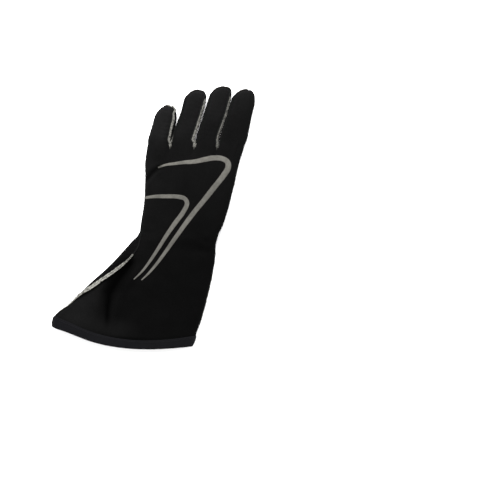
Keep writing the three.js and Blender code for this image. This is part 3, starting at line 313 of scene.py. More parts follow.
class Hand:
    """Cross sections of the hand and gauntlet at row places t, from 0 at the hem to LAST_SECTION at the
    knuckles. Every value is a column, so that x may be an array of one row for each place."""

    def __init__(self, t):
        row = {key: curve(np.asarray(t, float))[:, None] for key, curve in SECTION_CURVES.items()}
        self.row = row
        self.xl, self.xr = LITTLE_X(row["little"]), INDEX_X(row["index"])
        self.el, self.er = row["little_end"], row["index_end"]
        self.near = smooth(row["index"], KNUCKLES_Y - CROTCH_REACH, KNUCKLES_Y)
        self.follow = smooth(row["index"], 40, 118)
        self.base = BINDING_LIFT * (1 - smooth(row["little"], -136, -118))
        lift = SIDE_LIFT * (1 - smooth(row["little"], 60, 100))
        self.side_floor = floor_height(self.xr, row["index"])
        self.zl = self.el + lift + self.base
        self.zr = self.er + lift * 0.4 + self.base + self.side_floor

    def share(self, x):
        """Share of the way from the little side to the index side."""
        return np.clip((x - self.xl) / (self.xr - self.xl), 0, 1)

    def y(self, x):
        """Straight from side to side, plus the bow, which is greatest in the middle. Beside the flare's
        lower corner the hem is drawn up a little."""
        u = self.share(x)
        near_hem = 1 - smooth(self.row["little"], LITTLE_SIDE[0][0], -112)
        drawn = HEM_DRAWN["rise"] * bell(x, HEM_DRAWN["x"], HEM_DRAWN["half"]) * near_hem
        straight = lerp(self.row["little"], self.row["index"], u)
        return straight + drawn + self.row["bow"] * (4 * u * (1 - u)) ** 1.1

    def run(self, x):
        """Share of the way between the two rolled sides."""
        return np.clip((x - self.xl - self.el) / (self.xr - self.er - self.xl - self.el), 0, 1)

    def corner(self, x):
        """Rise of the circle that rolls each side over, and whether x lies on one."""
        left, right = self.xl + self.el - x, x - self.xr + self.er
        rise_left = np.sqrt(np.clip(self.el**2 - left**2, 0, None))
        rise_right = np.sqrt(np.clip(self.er**2 - right**2, 0, None))
        return left > 0, rise_left, right > 0, rise_right

    def crown(self, x):
        """One low arch for each finger, from crotch to crotch."""
        marks = np.concatenate([self.xl, np.tile(CROTCHES[:, 0], (len(self.xl), 1)), self.xr], axis=1)
        slot = sum((x > marks[:, i : i + 1]).astype(int) for i in (1, 2, 3))
        low = np.take_along_axis(marks, slot, axis=1)
        high = np.take_along_axis(marks, slot + 1, axis=1)
        t = (x - low) / (high - low)
        return FINGER_CROWN * (1 - (2 * t - 1) ** 2)

    def dip(self, x):
        """A bell curve at each crotch, growing toward the knuckles."""
        return sum(bell(x, crotch_x, CROTCH_SPREAD) for crotch_x in CROTCHES[:, 0]) * self.near

    def top(self, x):
        """Height of the back: a quarter circle at each side, a bulge between them."""
        u = self.run(x)
        bump = (4 * u * (1 - u)) ** 1.15
        level = lerp(self.base, self.base + self.side_floor, u)
        carried = self.follow * (self.base + floor_height(x, self.y(x)) - level)
        middle = lerp(self.zl + self.el, self.zr + self.er, u) + carried - CROTCH_DIP * self.dip(x)
        middle = middle + lerp(self.row["rise"] * bump, self.crown(x), self.near)
        on_left, rise_left, on_right, rise_right = self.corner(x)
        return np.where(on_left, self.zl + rise_left, np.where(on_right, self.zr + rise_right, middle))

    def under(self, x):
        """Height of the palm side: a quarter circle at each side, flat or on the thumb between."""
        u = self.run(x)
        hang = self.row["sag"] * np.minimum(1, 8.8 * u * (1 - u))
        flat = np.maximum(self.base, lerp(self.zl - self.el, self.zr - self.er, u) - hang)
        middle = np.maximum(flat, floor_height(x, self.y(x))) + CROTCH_RISE * self.dip(x)
        on_left, rise_left, on_right, rise_right = self.corner(x)
        return np.where(on_left, self.zl - rise_left, np.where(on_right, self.zr - rise_right, middle))

    def rings(self):
        """The sections as closed rings: over the back from the little side, then back underneath."""
        angle = np.linspace(0, np.pi / 2, HAND_ARC_STEPS, endpoint=False)
        u = np.linspace(0, 1, HAND_RUN_STEPS, endpoint=False)
        over = np.concatenate([
            self.xl + self.el * (1 - np.cos(angle)),
            lerp(self.xl + self.el, self.xr - self.er, u),
            self.xr - self.er * (1 - np.sin(angle)),
        ], axis=1)
        below = np.concatenate([
            self.xr - self.er * (1 - np.cos(angle)),
            lerp(self.xl + self.el, self.xr - self.er, 1 - u),
            self.xl + self.el * (1 - np.sin(angle)),
        ], axis=1)
        x = np.concatenate([over, below], axis=1)
        z = np.concatenate([self.top(over), self.under(below)], axis=1)
        return Rings(np.stack([x, self.y(x), z], axis=-1), over.shape[1])


class Rings:
    """Closed rings of points, one for each row, walked by distance from their first point."""

    def __init__(self, points, top_index):
        self.points = np.concatenate([points, points[:, :1]], axis=1)
        self.start = walk(self.points)
        self.length = self.start[:, -1:]
        self.top = self.start[:, top_index : top_index + 1]

    def at(self, distance):
        """Points at distances, one row of them for each ring. Each ring's distances are lifted past the
        last ring's, so that one interpolation serves them all."""
        lift = np.arange(len(self.start))[:, None] * 2 * self.length.max()
        asked = np.mod(distance, self.length) + lift
        return sample(self.points.reshape(-1, 3), (self.start + lift).ravel(), asked)


def finger_rings(xl, xr, yl, yr, height, crown, outer):
    """Sections of a finger: soft-cornered boxes with a crowned top, fully round on the outer side of the
    glove. All values are columns."""
    most = np.minimum(height / 2, (xr - xl) / 2)
    soft = np.minimum(FINGER_CORNER, most)
    left, right = (most if outer == 0 else soft), (most if outer == 3 else soft)
    bottom = (FINGER_HEIGHT - height) / 2
    top = bottom + height
    angle = np.linspace(0, np.pi / 2, FINGER_ARC_STEPS, endpoint=False)
    u = np.linspace(0, 1, FINGER_RUN_STEPS, endpoint=False)
    flat = np.zeros_like(u)
    run = lerp(xl + left, xr - right, u)
    run_back = lerp(xr - right, xl + left, u)
    parts = [
        (xl, bottom + height / 2),
        (xl + left * (1 - np.cos(angle)), top - left * (1 - np.sin(angle))),
        (run, top + flat),
        (xr - right * (1 - np.sin(angle)), top - right * (1 - np.cos(angle))),
        (xr, top - right),
        (xr, bottom + height / 2),
        (xr - right * (1 - np.cos(angle)), bottom + right * (1 - np.sin(angle))),
        (run_back, bottom + flat),
        (xl + left * (1 - np.sin(angle)), bottom + left * (1 - np.cos(angle))),
        (xl, bottom + left),
    ]
    x = np.concatenate([part[0] for part in parts], axis=1)
    z = np.concatenate([part[1] for part in parts], axis=1)
    top_index = sum(part[0].shape[1] for part in parts[:5])
    share = np.clip((x - xl) / np.maximum(xr - xl, 1e-6), 0, 1)
    swell = np.where(z > bottom + height / 2, crown * (1 - (2 * share - 1) ** 2), 0)
    carried = lerp(floor_height(xl, yl), floor_height(xr, yr), share)
    return Rings(np.stack([x, lerp(yl, yr, share), z + swell + carried], axis=-1), top_index)


class Finger:
    """Rows of one finger from its root to its tip, and the distances of its seams along each ring."""

    def __init__(self, number):
        spec = FINGERS[number]
        roots = [LITTLE_SIDE[-1][::-1], *CROTCHES, INDEX_SIDE[-1][::-1]]
        root_left, root_right = roots[number], roots[number + 1]
        tip_x, tip_y = spec["tip"]
        straight_end = tip_y - spec["dome"]
        share = np.linspace(0, 1, STRAIGHT_ROWS)[:, None] ** 1.4
        reach = np.sin(np.linspace(0, np.pi / 2, DOME_ROWS + 1))[1:, None]
        narrow = [(1 - (0.985 * reach) ** turn) ** (1 / turn) for turn in spec["turn"]]
        dome_y = straight_end + spec["dome"] * reach
        tall = np.concatenate([np.ones_like(share), np.clip(1 - reach**3, 0, 1) ** 0.45])
        closing = [1 - smooth(reach, 0.1, 0.75), 1 - smooth(reach, 0.55, 1.0)]
        openings = [np.concatenate([np.ones_like(share), dome]) for dome in closing]
        yl = np.concatenate([lerp(root_left[1], straight_end, share), dome_y])
        yr = np.concatenate([lerp(root_right[1], straight_end, share), dome_y])
        walls = []
        for side, root in ((0, root_left[0]), (1, root_right[0])):
            near, end = spec["left" if side == 0 else "right"]
            settled = lerp(near, end, smooth(share, 0.2, 0.9))
            if spec["seams"][side] is None:
                straight = lerp(root, settled, smooth(share, 0, 0.25))
            else:
                sign = 1 - 2 * side
                round_root = root + sign * CROTCH_RADIUS * np.minimum(1, np.sqrt(share / 0.055))
                straight = lerp(round_root, settled, smooth(share, 0.02, 0.2))
            walls.append(np.concatenate([straight, lerp(tip_x, end, narrow[side])]))
        height = np.maximum(0.02, FINGER_HEIGHT * tall)
        self.rings = finger_rings(walls[0], walls[1], yl, yr, height, FINGER_CROWN * tall, number)
        corner = np.minimum(np.minimum(FINGER_CORNER, height / 2), (walls[1] - walls[0]) / 2)
        self.ups, self.downs = [], []
        for seam, opening in zip(spec["seams"], openings):
            flank = height / 2 - corner
            if seam is None:
                self.ups.append(SIDE_ROLL * tall)
                self.downs.append(-SIDE_ROLL * tall)
            else:
                self.ups.append((flank + corner * math.radians(seam)) * opening)
                self.downs.append((flank + corner * math.radians(PALM_SEAM_ANGLE)) * opening)
        self.advance = (yl - root_left[1], yr - root_right[1])
        self.tip = np.array([tip_x, straight_end, FINGER_HEIGHT / 2])

    def sheet(self, start, end, columns, root_line):
        """Grid of points between two distances on each ring. Near the root it grows out of root_line,
        the row of the hand or notch that it continues, by a smooth mix of the two."""
        share = np.linspace(0, 1, columns + 1)[None, :]
        free = self.rings.at(lerp(start, end, share))
        advance = lerp(self.advance[0], self.advance[1], share)
        carried = np.repeat(root_line[None], len(free), axis=0)
        moved_y = carried[..., 1] + advance
        rise = floor_height(carried[..., 0], moved_y) - floor_height(carried[..., 0], carried[..., 1])
        grown = np.stack([carried[..., 0], moved_y, carried[..., 2] + rise], axis=-1)
        weight = smooth(advance, 0, ROOT_BLEND)[..., None]
        return lerp(grown, free, weight)

    def back(self, root_line):
        """The finger's part of the back, between its two back seams."""
        return self.sheet(self.ups[0], self.rings.top - self.ups[1], FINGER_COLUMNS, root_line)

    def palm(self, root_line):
        """The finger's part of the palm, between its two palm seams."""
        start = self.rings.length - self.downs[0]
        return self.sheet(start, self.rings.top + self.downs[1], FINGER_COLUMNS, root_line)

    def wall(self, side, root_line):
        """Side wall from its palm seam up to its back seam."""
        length, top = self.rings.length, self.rings.top
        if side == 0:
            return self.sheet(length - self.downs[0], length + self.ups[0], WALL_COLUMNS, root_line)
        return self.sheet(top + self.downs[1], top - self.ups[1], WALL_COLUMNS, root_line)


def crease_depth(x, y, crease):
    """Distance to the course, turned into a bell-shaped valley with a low roll on either side of it,
    fading out toward both ends of the course."""
    course = np.array(crease["course"], float)
    nearest = np.full(np.shape(x), 1e9)
    place = np.zeros(np.shape(x))
    for i, (a, b) in enumerate(zip(course[:-1], course[1:])):
        edge = b - a
        t = np.clip(((x - a[0]) * edge[0] + (y - a[1]) * edge[1]) / (edge @ edge), 0, 1)
        away = np.hypot(x - a[0] - t * edge[0], y - a[1] - t * edge[1])
        place = np.where(away < nearest, i + t, place)
        nearest = np.minimum(nearest, away)
    fade = smooth(place, 0, 0.8) * (1 - smooth(place, len(course) - 2.0, len(course) - 1.0))
    ratio = nearest / crease["half"]
    shape = np.exp(-(ratio**2)) - 0.3 * np.exp(-((ratio - 2) ** 2) * 1.6)
    return crease["depth"] * shape * fade


# Low waves of the cloth: heading, length, phase and height
WAVE_RNG = np.random.default_rng(41)
WAVES = [
    (WAVE_RNG.uniform(0, math.tau), 28 + 12 * i, WAVE_RNG.uniform(0, math.tau), 0.1 + 0.03 * i)
    for i in range(7)
]

# Shade in the fold beside the flare: its middle across and its half width, by the place along the glove
FOLD_Y = [-138, -126, -108, -93, -78, -61, -44]
FOLD_X = curve_through(FOLD_Y, [-60, -61.5, -65, -66.5, -61, -55, -50])
FOLD_HALF = curve_through(FOLD_Y, [2.5, 4, 5, 8, 13, 10, 5])

# Greyness of the cloth, by the distance along a heading from the lower index side to the little finger
TONE_ALONG_GLOVE = curve_through([-60, 0, 40, 110, 135, 155, 190], [0.38, 0.43, 0.56, 0.57, 0.64, 0.84, 1.02])


def cloth_tone_and_painted_shade(points):
    """Tone of the black cloth: lighter toward the fingertips and the little side, darker on the gauntlet,
    with painted shade in the fold beside the flare, in the pucker below the little finger and in a line
    right above the braid."""
    x, y, z = np.moveaxis(points, -1, 0)
    level = TONE_ALONG_GLOVE(y - 0.75 * x)
    level = level + 0.32 * smooth(-x, 44, 52) * smooth(y, 108, 122)
    level = level + 0.16 * smooth(-x, 30, 55) * smooth(y, -40, -20) * (1 - smooth(y, 60, 100))
    level = level + 0.6 * smooth(-x, 58, 104) * (1 - smooth(y, -84, -60))
    level = level + 0.28 * bell(x, -54, 32) * (1 - smooth(y, -134, -114))
    upper = smooth(z, *UPPER_SIDE)
    # Painted shade on the upper side: the fold beside the flare, the pucker and a line right above the
    # braid are darkened.
    fold = bell(x, FOLD_X(y), FOLD_HALF(y)) * smooth(y, -138, -120) * (1 - smooth(y, -50, -40))
    pucker_depth = crease_depth(x, y, CREASES[PUCKER]) / CREASES[PUCKER]["depth"]
    above_braid = y - Hand(np.array([1.0])).y(x.reshape(1, -1)).reshape(x.shape)
    shade = bell(above_braid, 0.5, 2.6) * (0.1 + 0.9 * bell(x, -32, 26))
    dark = 0.6 * np.clip(pucker_depth, 0, 1) * upper
    return level * (1 - 0.85 * fold * upper) * (1 - dark) * (1 - 0.55 * shade)


def settle(points):
    """Slack that every piece shares, so that seams and stripes stay on the cloth: the creases and a few
    long, low waves of different headings lower or lift the upper side and leave the palm side alone."""
    x, y, z = np.moveaxis(points, -1, 0)
    lift = -sum(crease_depth(x, y, crease) for crease in CREASES)
    for heading, length, phase, tall in WAVES:
        along = x * math.cos(heading) + y * math.sin(heading)
        lift = lift + tall * np.sin(along * math.tau / length + phase)
    moved = points.copy()
    moved[..., 2] = z + lift * smooth(z, *UPPER_SIDE)
    return moved


def metres(points):
    """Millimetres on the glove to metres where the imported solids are."""
    return (points + SHIFT) / MM


def numbered(grid, first=0):
    """Vertex numbers of a grid of points."""
    return first + np.arange(grid.shape[0] * grid.shape[1]).reshape(grid.shape[:2])


def flat_map(u, v):
    """UV places of a grid of points from distances in two directions."""
    return np.stack(np.broadcast_arrays(u, v), axis=-1)


def grid_faces(index, flip=False):
    """Quads between neighbouring rows and columns of a grid of vertex numbers, turned over by flip."""
    quads = np.stack([index[:-1, :-1], index[:-1, 1:], index[1:, 1:], index[1:, :-1]], axis=-1)
    quads = quads.reshape(-1, 4)
    return quads[:, ::-1] if flip else quads


def tube_faces(points, ring=False):
    """Faces of a tube, which is a grid of points with one closed section a row: quads between the
    sections and a cap at either end, or, for a ring, quads from the last section back to the first. All
    are turned over if the sides enclose a negative volume about their middle."""
    numbers = numbered(points)
    looped = np.concatenate([numbers, numbers[:, :1]], axis=1)
    if ring:
        looped = np.concatenate([looped, looped[:1]])
    quads = grid_faces(looped)
    a, b, c, d = np.moveaxis((points - points.mean(axis=(0, 1))).reshape(-1, 3)[quads], 1, 0)
    volume = np.einsum("ij,ij->", a, np.cross(b, c)) + np.einsum("ij,ij->", a, np.cross(c, d))
    faces = [tuple(quad) for quad in quads]
    if not ring:
        faces += [tuple(numbers[0, ::-1]), tuple(numbers[-1])]
    return [face[::-1] for face in faces] if volume < 0 else faces


def grid_normals(grid):
    """Unit normals of a grid: the way across the columns crossed with the way along the rows."""
    return unit(np.cross(np.gradient(grid, axis=1), np.gradient(grid, axis=0)))


def make_piece(name, node, points, faces, material, uv=None, values=None, wall=0.0):
    """A mesh object from points in millimetres, with a UV map in millimetres, one number per vertex for
    each named value, and a wall of the given thickness grown inward. It stands for the CAD node."""
    points = points.reshape(-1, 3)
    mesh = bpy.data.meshes.new(name)
    mesh.from_pydata(metres(settle(points)), [], [tuple(map(int, face)) for face in faces])
    if uv is not None:
        corner = np.empty(len(mesh.loops), np.int32)
        mesh.loops.foreach_get("vertex_index", corner)
        places = uv.reshape(-1, 2)[corner].astype(np.float32)
        mesh.uv_layers.new(name="cloth").data.foreach_set("uv", places.ravel())
    # Every piece keeps the cloth's tone, with its painted shade, as a vertex value that the cloth materials
    # use.
    for key, numbers in {"cloth_tone_and_painted_shade": cloth_tone_and_painted_shade(points), **(values or {})}.items():
        layer = mesh.attributes.new(key, "FLOAT", "POINT")
        layer.data.foreach_set("value", np.asarray(numbers, np.float32).ravel())
    mesh.polygons.foreach_set("use_smooth", np.ones(len(mesh.polygons), bool))
    mesh.materials.append(material)
    piece = bpy.data.objects.new(name, mesh)
    bpy.context.scene.collection.objects.link(piece)
    if wall:
        solid = piece.modifiers.new("wall", "SOLIDIFY")
        solid.thickness = wall / MM
        solid.offset = -1
        solid.use_rim = True
    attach(piece, "root")
    if node:
        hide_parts(node)


# Colours, linear
BACK_BLACK = (0.0038, 0.0038, 0.0038)
PALM_BLACK = (0.0038, 0.0038, 0.0039)
LINT_GREY = (0.02, 0.02, 0.021, 1)
FLANK_BLACK = (0.003, 0.003, 0.003, 1)
FIBRE_DARK = (0.05, 0.049, 0.044, 1)
FIBRE_PALE = (0.27, 0.265, 0.24, 1)
FIBRE_SOILED = (0.045, 0.044, 0.04, 1)
SUEDE_DULL = (0.040, 0.0388, 0.0345, 1)
SUEDE_BRIGHT = (0.058, 0.056, 0.050, 1)
SUEDE_FUZZ = (0.092, 0.089, 0.081, 1)
SUEDE_RIM = (0.032, 0.031, 0.028, 1)
BRAID_BLACK = (0.0030, 0.0030, 0.0037)
THREAD_LOW = (0.002, 0.002, 0.0025, 1)
THREAD_HIGH = (0.007, 0.007, 0.008, 1)


class Nodes:
    """Adds nodes to one tree. A socket given as an input is linked, and any other value is set."""

    def __init__(self, tree):
        self.tree = tree

    def add(self, kind, output=0, settings=None, **inputs):
        node = self.tree.nodes.new(kind)
        for key, value in (settings or {}).items():
            setattr(node, key, value)
        for key, value in inputs.items():
            socket = node.inputs[int(key[1:])] if key[0] == "i" and key[1:].isdigit() else node.inputs[key]
            self.put(socket, value)
        return node.outputs[output]

    def put(self, socket, value):
        if isinstance(value, bpy.types.NodeSocket):
            self.tree.links.new(value, socket)
        else:
            socket.default_value = value

    def math(self, operation, a, b=0.0):
        return self.add("ShaderNodeMath", settings={"operation": operation}, i0=a, i1=b)

    def mix(self, factor, a, b):
        return self.add("ShaderNodeMix", output=2, settings={"data_type": "RGBA"}, i0=factor, i6=a, i7=b)

    def ramp(self, value, low, high, to_low=0.0, to_high=1.0):
        return self.add(
            "ShaderNodeMapRange", settings={"interpolation_type": "SMOOTHSTEP"},
            i0=value, i1=low, i2=high, i3=to_low, i4=to_high,
        )

    def noise(self, vector, scale, detail=2.0, roughness=0.55):
        settings = {"Vector": vector, "Scale": scale, "Detail": detail, "Roughness": roughness}
        return self.add("ShaderNodeTexNoise", **settings)

    def place(self):
        """Object coordinates."""
        return self.add("ShaderNodeTexCoord", output="Object")

    def cloth_map(self):
        """The UV map in millimetres."""
        return self.add("ShaderNodeUVMap", settings={"uv_map": "cloth"})

    def vertex_value(self, name):
        """One of the numbers that make_piece keeps at the vertices."""
        return self.add("ShaderNodeAttribute", output="Fac", settings={"attribute_name": name})


def group(name, inputs, outputs):
    """An empty shader node group with named inputs and outputs, and its two end nodes."""
    tree = bpy.data.node_groups.new(name, "ShaderNodeTree")
    for key, kind, value in inputs:
        socket = tree.interface.new_socket(name=key, in_out="INPUT", socket_type=kind)
        if value is not None:
            socket.default_value = value
    for key, kind in outputs:
        tree.interface.new_socket(name=key, in_out="OUTPUT", socket_type=kind)
    return Nodes(tree), tree.nodes.new("NodeGroupInput").outputs, tree.nodes.new("NodeGroupOutput").inputs


def knit_group():
    """Fine knit on a UV map in millimetres: columns of slanted loops, as crossed sine waves whose rows
    shift a little from column to column. Height follows the loops, and Tone is painted shade and light,
    darker between the loops and a little lighter on their tops."""
    nodes, given, out = group(
        "fine_knit",
        [("Vector", "NodeSocketVector", None), ("Pitch", "NodeSocketFloat", 0.9)],
        [("Height", "NodeSocketFloat"), ("Tone", "NodeSocketFloat")],
    )
    parts = nodes.add("ShaderNodeSeparateXYZ", Vector=given["Vector"]).node.outputs
    turn = nodes.math("DIVIDE", math.tau, given["Pitch"])
    wales = nodes.math("SINE", nodes.math("MULTIPLY", parts[0], turn))
    slant = nodes.math("MULTIPLY", nodes.math("ABSOLUTE", wales), 1.4)
    courses = nodes.math("SINE", nodes.math("ADD", nodes.math("MULTIPLY", parts[1], turn), slant))
    height = nodes.math("ADD", nodes.math("MULTIPLY", wales, 0.5), nodes.math("MULTIPLY", courses, 0.5))
    nodes.put(out["Height"], height)
    nodes.put(out["Tone"], nodes.ramp(height, -0.9, 0.6, 0.72, 1.06))
    return nodes.tree


def nap_group():
    """Uneven nap of a matt cloth: broad patches, small tufts and rare specks of lint. Tone multiplies a
    colour, Lint marks the specks, Height is for a bump."""
    nodes, given, out = group(
        "cloth_nap",
        [("Vector", "NodeSocketVector", None), ("Depth", "NodeSocketFloat", 0.25)],
        [("Tone", "NodeSocketFloat"), ("Lint", "NodeSocketFloat"), ("Height", "NodeSocketFloat")],
    )
    patches = nodes.noise(given["Vector"], 45.0, 2.0)
    tufts = nodes.noise(given["Vector"], 420.0, 3.0)
    both = nodes.math("ADD", nodes.math("MULTIPLY", patches, 0.6), nodes.math("MULTIPLY", tufts, 0.4))
    swing = nodes.math("MULTIPLY", nodes.math("SUBTRACT", both, 0.5), given["Depth"])
    nodes.put(out["Tone"], nodes.math("ADD", 1.0, nodes.math("MULTIPLY", swing, 4.0)))
    specks = nodes.noise(given["Vector"], 900.0, 1.0)
    nodes.put(out["Lint"], nodes.ramp(specks, 0.80, 0.86))
    nodes.put(out["Height"], tufts)
    return nodes.tree


KNIT = knit_group()
NAP = nap_group()


def use_group(nodes, tree, **inputs):
    """Places a node group and returns its outputs by name."""
    node = nodes.tree.nodes.new("ShaderNodeGroup")
    node.node_tree = tree
    for key, value in inputs.items():
        nodes.put(node.inputs[key], value)
    return node.outputs


def start_material(name, **shader_values):
    """A material with one Principled shader whose plain values are set on its own sockets."""
    material = bpy.data.materials.new(name)
    material.use_nodes = True
    nodes = Nodes(material.node_tree)
    shader = material.node_tree.nodes["Principled BSDF"]
    for key, value in shader_values.items():
        shader.inputs[key.replace("_", " ")].default_value = value
    return material, nodes, shader


def scaled_colour(nodes, colour, tone):
    """A colour multiplied by a tone."""
    return nodes.add("ShaderNodeVectorMath", settings={"operation": "SCALE"}, i0=colour, Scale=tone)


def bump(nodes, height, distance, strength=1.0, normal=None):
    """A bump of the given depth in millimetres, laid over an earlier one."""
    inputs = {"Height": height, "Distance": distance / MM, "Strength": strength}
    if normal is not None:
        inputs["Normal"] = normal
    return nodes.add("ShaderNodeBump", **inputs)


def cloth_material(name, colour, pitch, depth=0.25):
    """Matt cloth: knit of a pitch on the UV map, uneven nap of a depth and a little lint."""
    material, nodes, shader = start_material(
        name, Roughness=0.95, Specular_IOR_Level=0.004, Sheen_Weight=0.004, Sheen_Roughness=0.6,
    )
    knit = use_group(nodes, KNIT, Vector=nodes.cloth_map(), Pitch=pitch)
    nap = use_group(nodes, NAP, Vector=nodes.place(), Depth=depth)
    # The base colour carries painted shade: the knit's tone darkens between the loops, and the vertex value
    # adds shade in the creases and above the braid.
    tone = nodes.math("MULTIPLY", knit["Tone"], nap["Tone"])
    tone = nodes.math("MULTIPLY", tone, nodes.vertex_value("cloth_tone_and_painted_shade"))
    dark = scaled_colour(nodes, colour, tone)
    nodes.put(shader.inputs["Base Color"], nodes.mix(nap["Lint"], dark, LINT_GREY))
    loops = bump(nodes, knit["Height"], 0.16, 0.7)
    nodes.put(shader.inputs["Normal"], bump(nodes, nap["Height"], 0.25, 0.6, loops))
    return material


def seam_material():
    """Raw cut edge of the cloth: black on its flanks, pale fibres toward the cut. The value edge says
    how near the cut a point lies, and pale where the pale fibres show at all."""
    material, nodes, shader = start_material(
        "raw_seam_edge", Roughness=0.95, Specular_IOR_Level=0.01, Sheen_Weight=0.012, Sheen_Roughness=0.6,
    )
    place = nodes.place()
    strands = nodes.noise(place, 800.0, 4.0, 0.7)
    clumps = nodes.noise(place, 280.0, 2.0)
    swing = nodes.math("MULTIPLY", nodes.math("SUBTRACT", clumps, 0.5), 0.9)
    ragged = nodes.math("ADD", nodes.vertex_value("edge"), swing)
    cut = nodes.math("MULTIPLY", nodes.ramp(ragged, 0.5, 0.75), nodes.vertex_value("pale"))
    fibre = nodes.mix(nodes.ramp(strands, 0.3, 0.7), FIBRE_DARK, FIBRE_PALE)
    soiled = nodes.mix(nodes.ramp(clumps, 0.48, 0.68), fibre, FIBRE_SOILED)
    nodes.put(shader.inputs["Base Color"], nodes.mix(cut, FLANK_BLACK, soiled))
    rough = bump(nodes, clumps, 0.9, 0.8)
    nodes.put(shader.inputs["Normal"], bump(nodes, strands, 0.5, 0.9, rough))
    return material


def stripe_material():
    """Grey brushed suede: short fibres in patches that catch the light differently, darker cut edges."""
    material, nodes, shader = start_material(
        "grey_suede", Roughness=0.9, Specular_IOR_Level=0.03, Sheen_Weight=0.03, Sheen_Roughness=0.5,
    )
    place = nodes.place()
    patches = nodes.noise(place, 130.0, 3.0, 0.6)
    fibres = nodes.noise(place, 900.0, 3.0, 0.7)
    base = nodes.mix(nodes.ramp(patches, 0.3, 0.7), SUEDE_DULL, SUEDE_BRIGHT)
    fuzzy = nodes.mix(nodes.ramp(fibres, 0.35, 0.75, 0.0, 0.35), base, SUEDE_FUZZ)
    rim = nodes.math("MULTIPLY", nodes.ramp(nodes.vertex_value("edge"), 0.7, 1.0), 0.6)
    nodes.put(shader.inputs["Base Color"], nodes.mix(rim, fuzzy, SUEDE_RIM))
    soft = bump(nodes, patches, 0.4, 0.5)
    nodes.put(shader.inputs["Normal"], bump(nodes, fibres, 0.25, 0.7, soft))
    return material


def binding_material():
    """Dark braid: ribs across the band on the UV map, with a faint blue cast and a soft gloss."""
    material, nodes, shader = start_material(
        "hem_braid", Roughness=0.8, Specular_IOR_Level=0.03, Sheen_Weight=0.01, Sheen_Roughness=0.5,
    )
    ribs = use_group(nodes, KNIT, Vector=nodes.cloth_map(), Pitch=1.15)
    nap = use_group(nodes, NAP, Vector=nodes.place(), Depth=0.2)
    # The ribs' tone is painted shade, darker between the ribs.
    tone = nodes.math("MULTIPLY", ribs["Tone"], nap["Tone"])
    nodes.put(shader.inputs["Base Color"], scaled_colour(nodes, BRAID_BLACK, tone))
    nodes.put(shader.inputs["Normal"], bump(nodes, ribs["Height"], 0.25, 0.8))
    return material


def thread_material():
    """Twisted black sewing thread."""
    material, nodes, shader = start_material("sewing_thread", Roughness=0.6, Specular_IOR_Level=0.06)
    twist = nodes.noise(nodes.place(), 2600.0, 1.0)
    nodes.put(shader.inputs["Base Color"], nodes.mix(twist, THREAD_LOW, THREAD_HIGH))
    nodes.put(shader.inputs["Normal"], bump(nodes, twist, 0.1, 0.6))
    return material


BACK_CLOTH = cloth_material("back_cloth", BACK_BLACK, 0.95)
PALM_CLOTH = cloth_material("palm_cloth", PALM_BLACK, 0.8, 0.35)
SEAM_EDGE = seam_material()
SUEDE = stripe_material()
BRAID = binding_material()
THREAD = thread_material()

# The two panels
hand = Hand(np.linspace(0, LAST_SECTION, HAND_ROWS + 1))
hand_rings = hand.rings()
seam_left = hand.row["roll"]
seam_right = hand_rings.top - SIDE_ROLL


def crotch_distances(under):
    """Distances round the last ring of the hand at which it passes each crotch."""
    x, start = hand_rings.points[-1, :, 0], hand_rings.start[-1]
    turn = np.searchsorted(start, hand_rings.top[-1, 0])
    if under:
        return np.interp(CROTCHES[:, 0], x[turn:][::-1], start[turn:][::-1])
    return np.interp(CROTCHES[:, 0], x[: turn + 1], start[: turn + 1])


def column_shares(under):
    """Shares of the panel's width for every column: equal steps within each finger's part of the
    knuckle row."""
    end = seam_right[-1, 0]
    start = hand_rings.length[-1, 0] + seam_left[-1, 0] if under else seam_left[-1, 0]
    marks = np.array([start, *crotch_distances(under), end])
    shares = (marks - start) / (end - start)
    return np.interp(np.arange(4 * FINGER_COLUMNS + 1) / FINGER_COLUMNS, np.arange(5), shares)


def finger_columns(i):
    """Columns of the knuckle row that one finger grows from."""
    return slice(i * FINGER_COLUMNS, (i + 1) * FINGER_COLUMNS + 1)


fingers = [Finger(i) for i in range(4)]
back_hand = hand_rings.at(lerp(seam_left, seam_right, column_shares(False)))
palm_hand = hand_rings.at(lerp(hand_rings.length + seam_left, seam_right, column_shares(True)))
back_fingers = [fingers[i].back(back_hand[-1, finger_columns(i)]) for i in range(4)]
palm_fingers = [fingers[i].palm(palm_hand[-1, finger_columns(i)]) for i in range(4)]


def notch_walls(i):
    """The walls on both sides of a notch. They grow from the short line in the crotch from the palm seam
    up to the back seam."""
    low = palm_hand[-1, (i + 1) * FINGER_COLUMNS]
    high = back_hand[-1, (i + 1) * FINGER_COLUMNS]
    line = lerp(low, high, np.linspace(0, 1, WALL_COLUMNS + 1)[:, None])
    return fingers[i].wall(1, line), fingers[i + 1].wall(0, line)


def pucker(grid, under, seamed):
    """Small gathers beside the seams: a sine along the seam, strongest a few millimetres from it and
    nothing on it. seamed fades them in along the rows."""
    across, along = walk(grid), walk(grid[:, 0])[:, None]
    normals = grid_normals(grid) * (-1 if under else 1)
    lift = 0
    for sign, distance in ((1, across), (-1, across[:, -1:] - across)):
        swing = 0.9 * np.sin(along / 11 + sign) + 0.6 * np.sin(along / 4.7)
        gather = np.sin(along * math.tau / GATHERS["pitch"] + swing)
        far = distance / GATHERS["reach"]
        reach = far * np.exp(1 - far)
        lift = lift + GATHERS["height"] * gather * reach - GATHERS["valley"] * reach * np.exp(-far / 2)
    return grid + normals * (lift * seamed)[..., None]


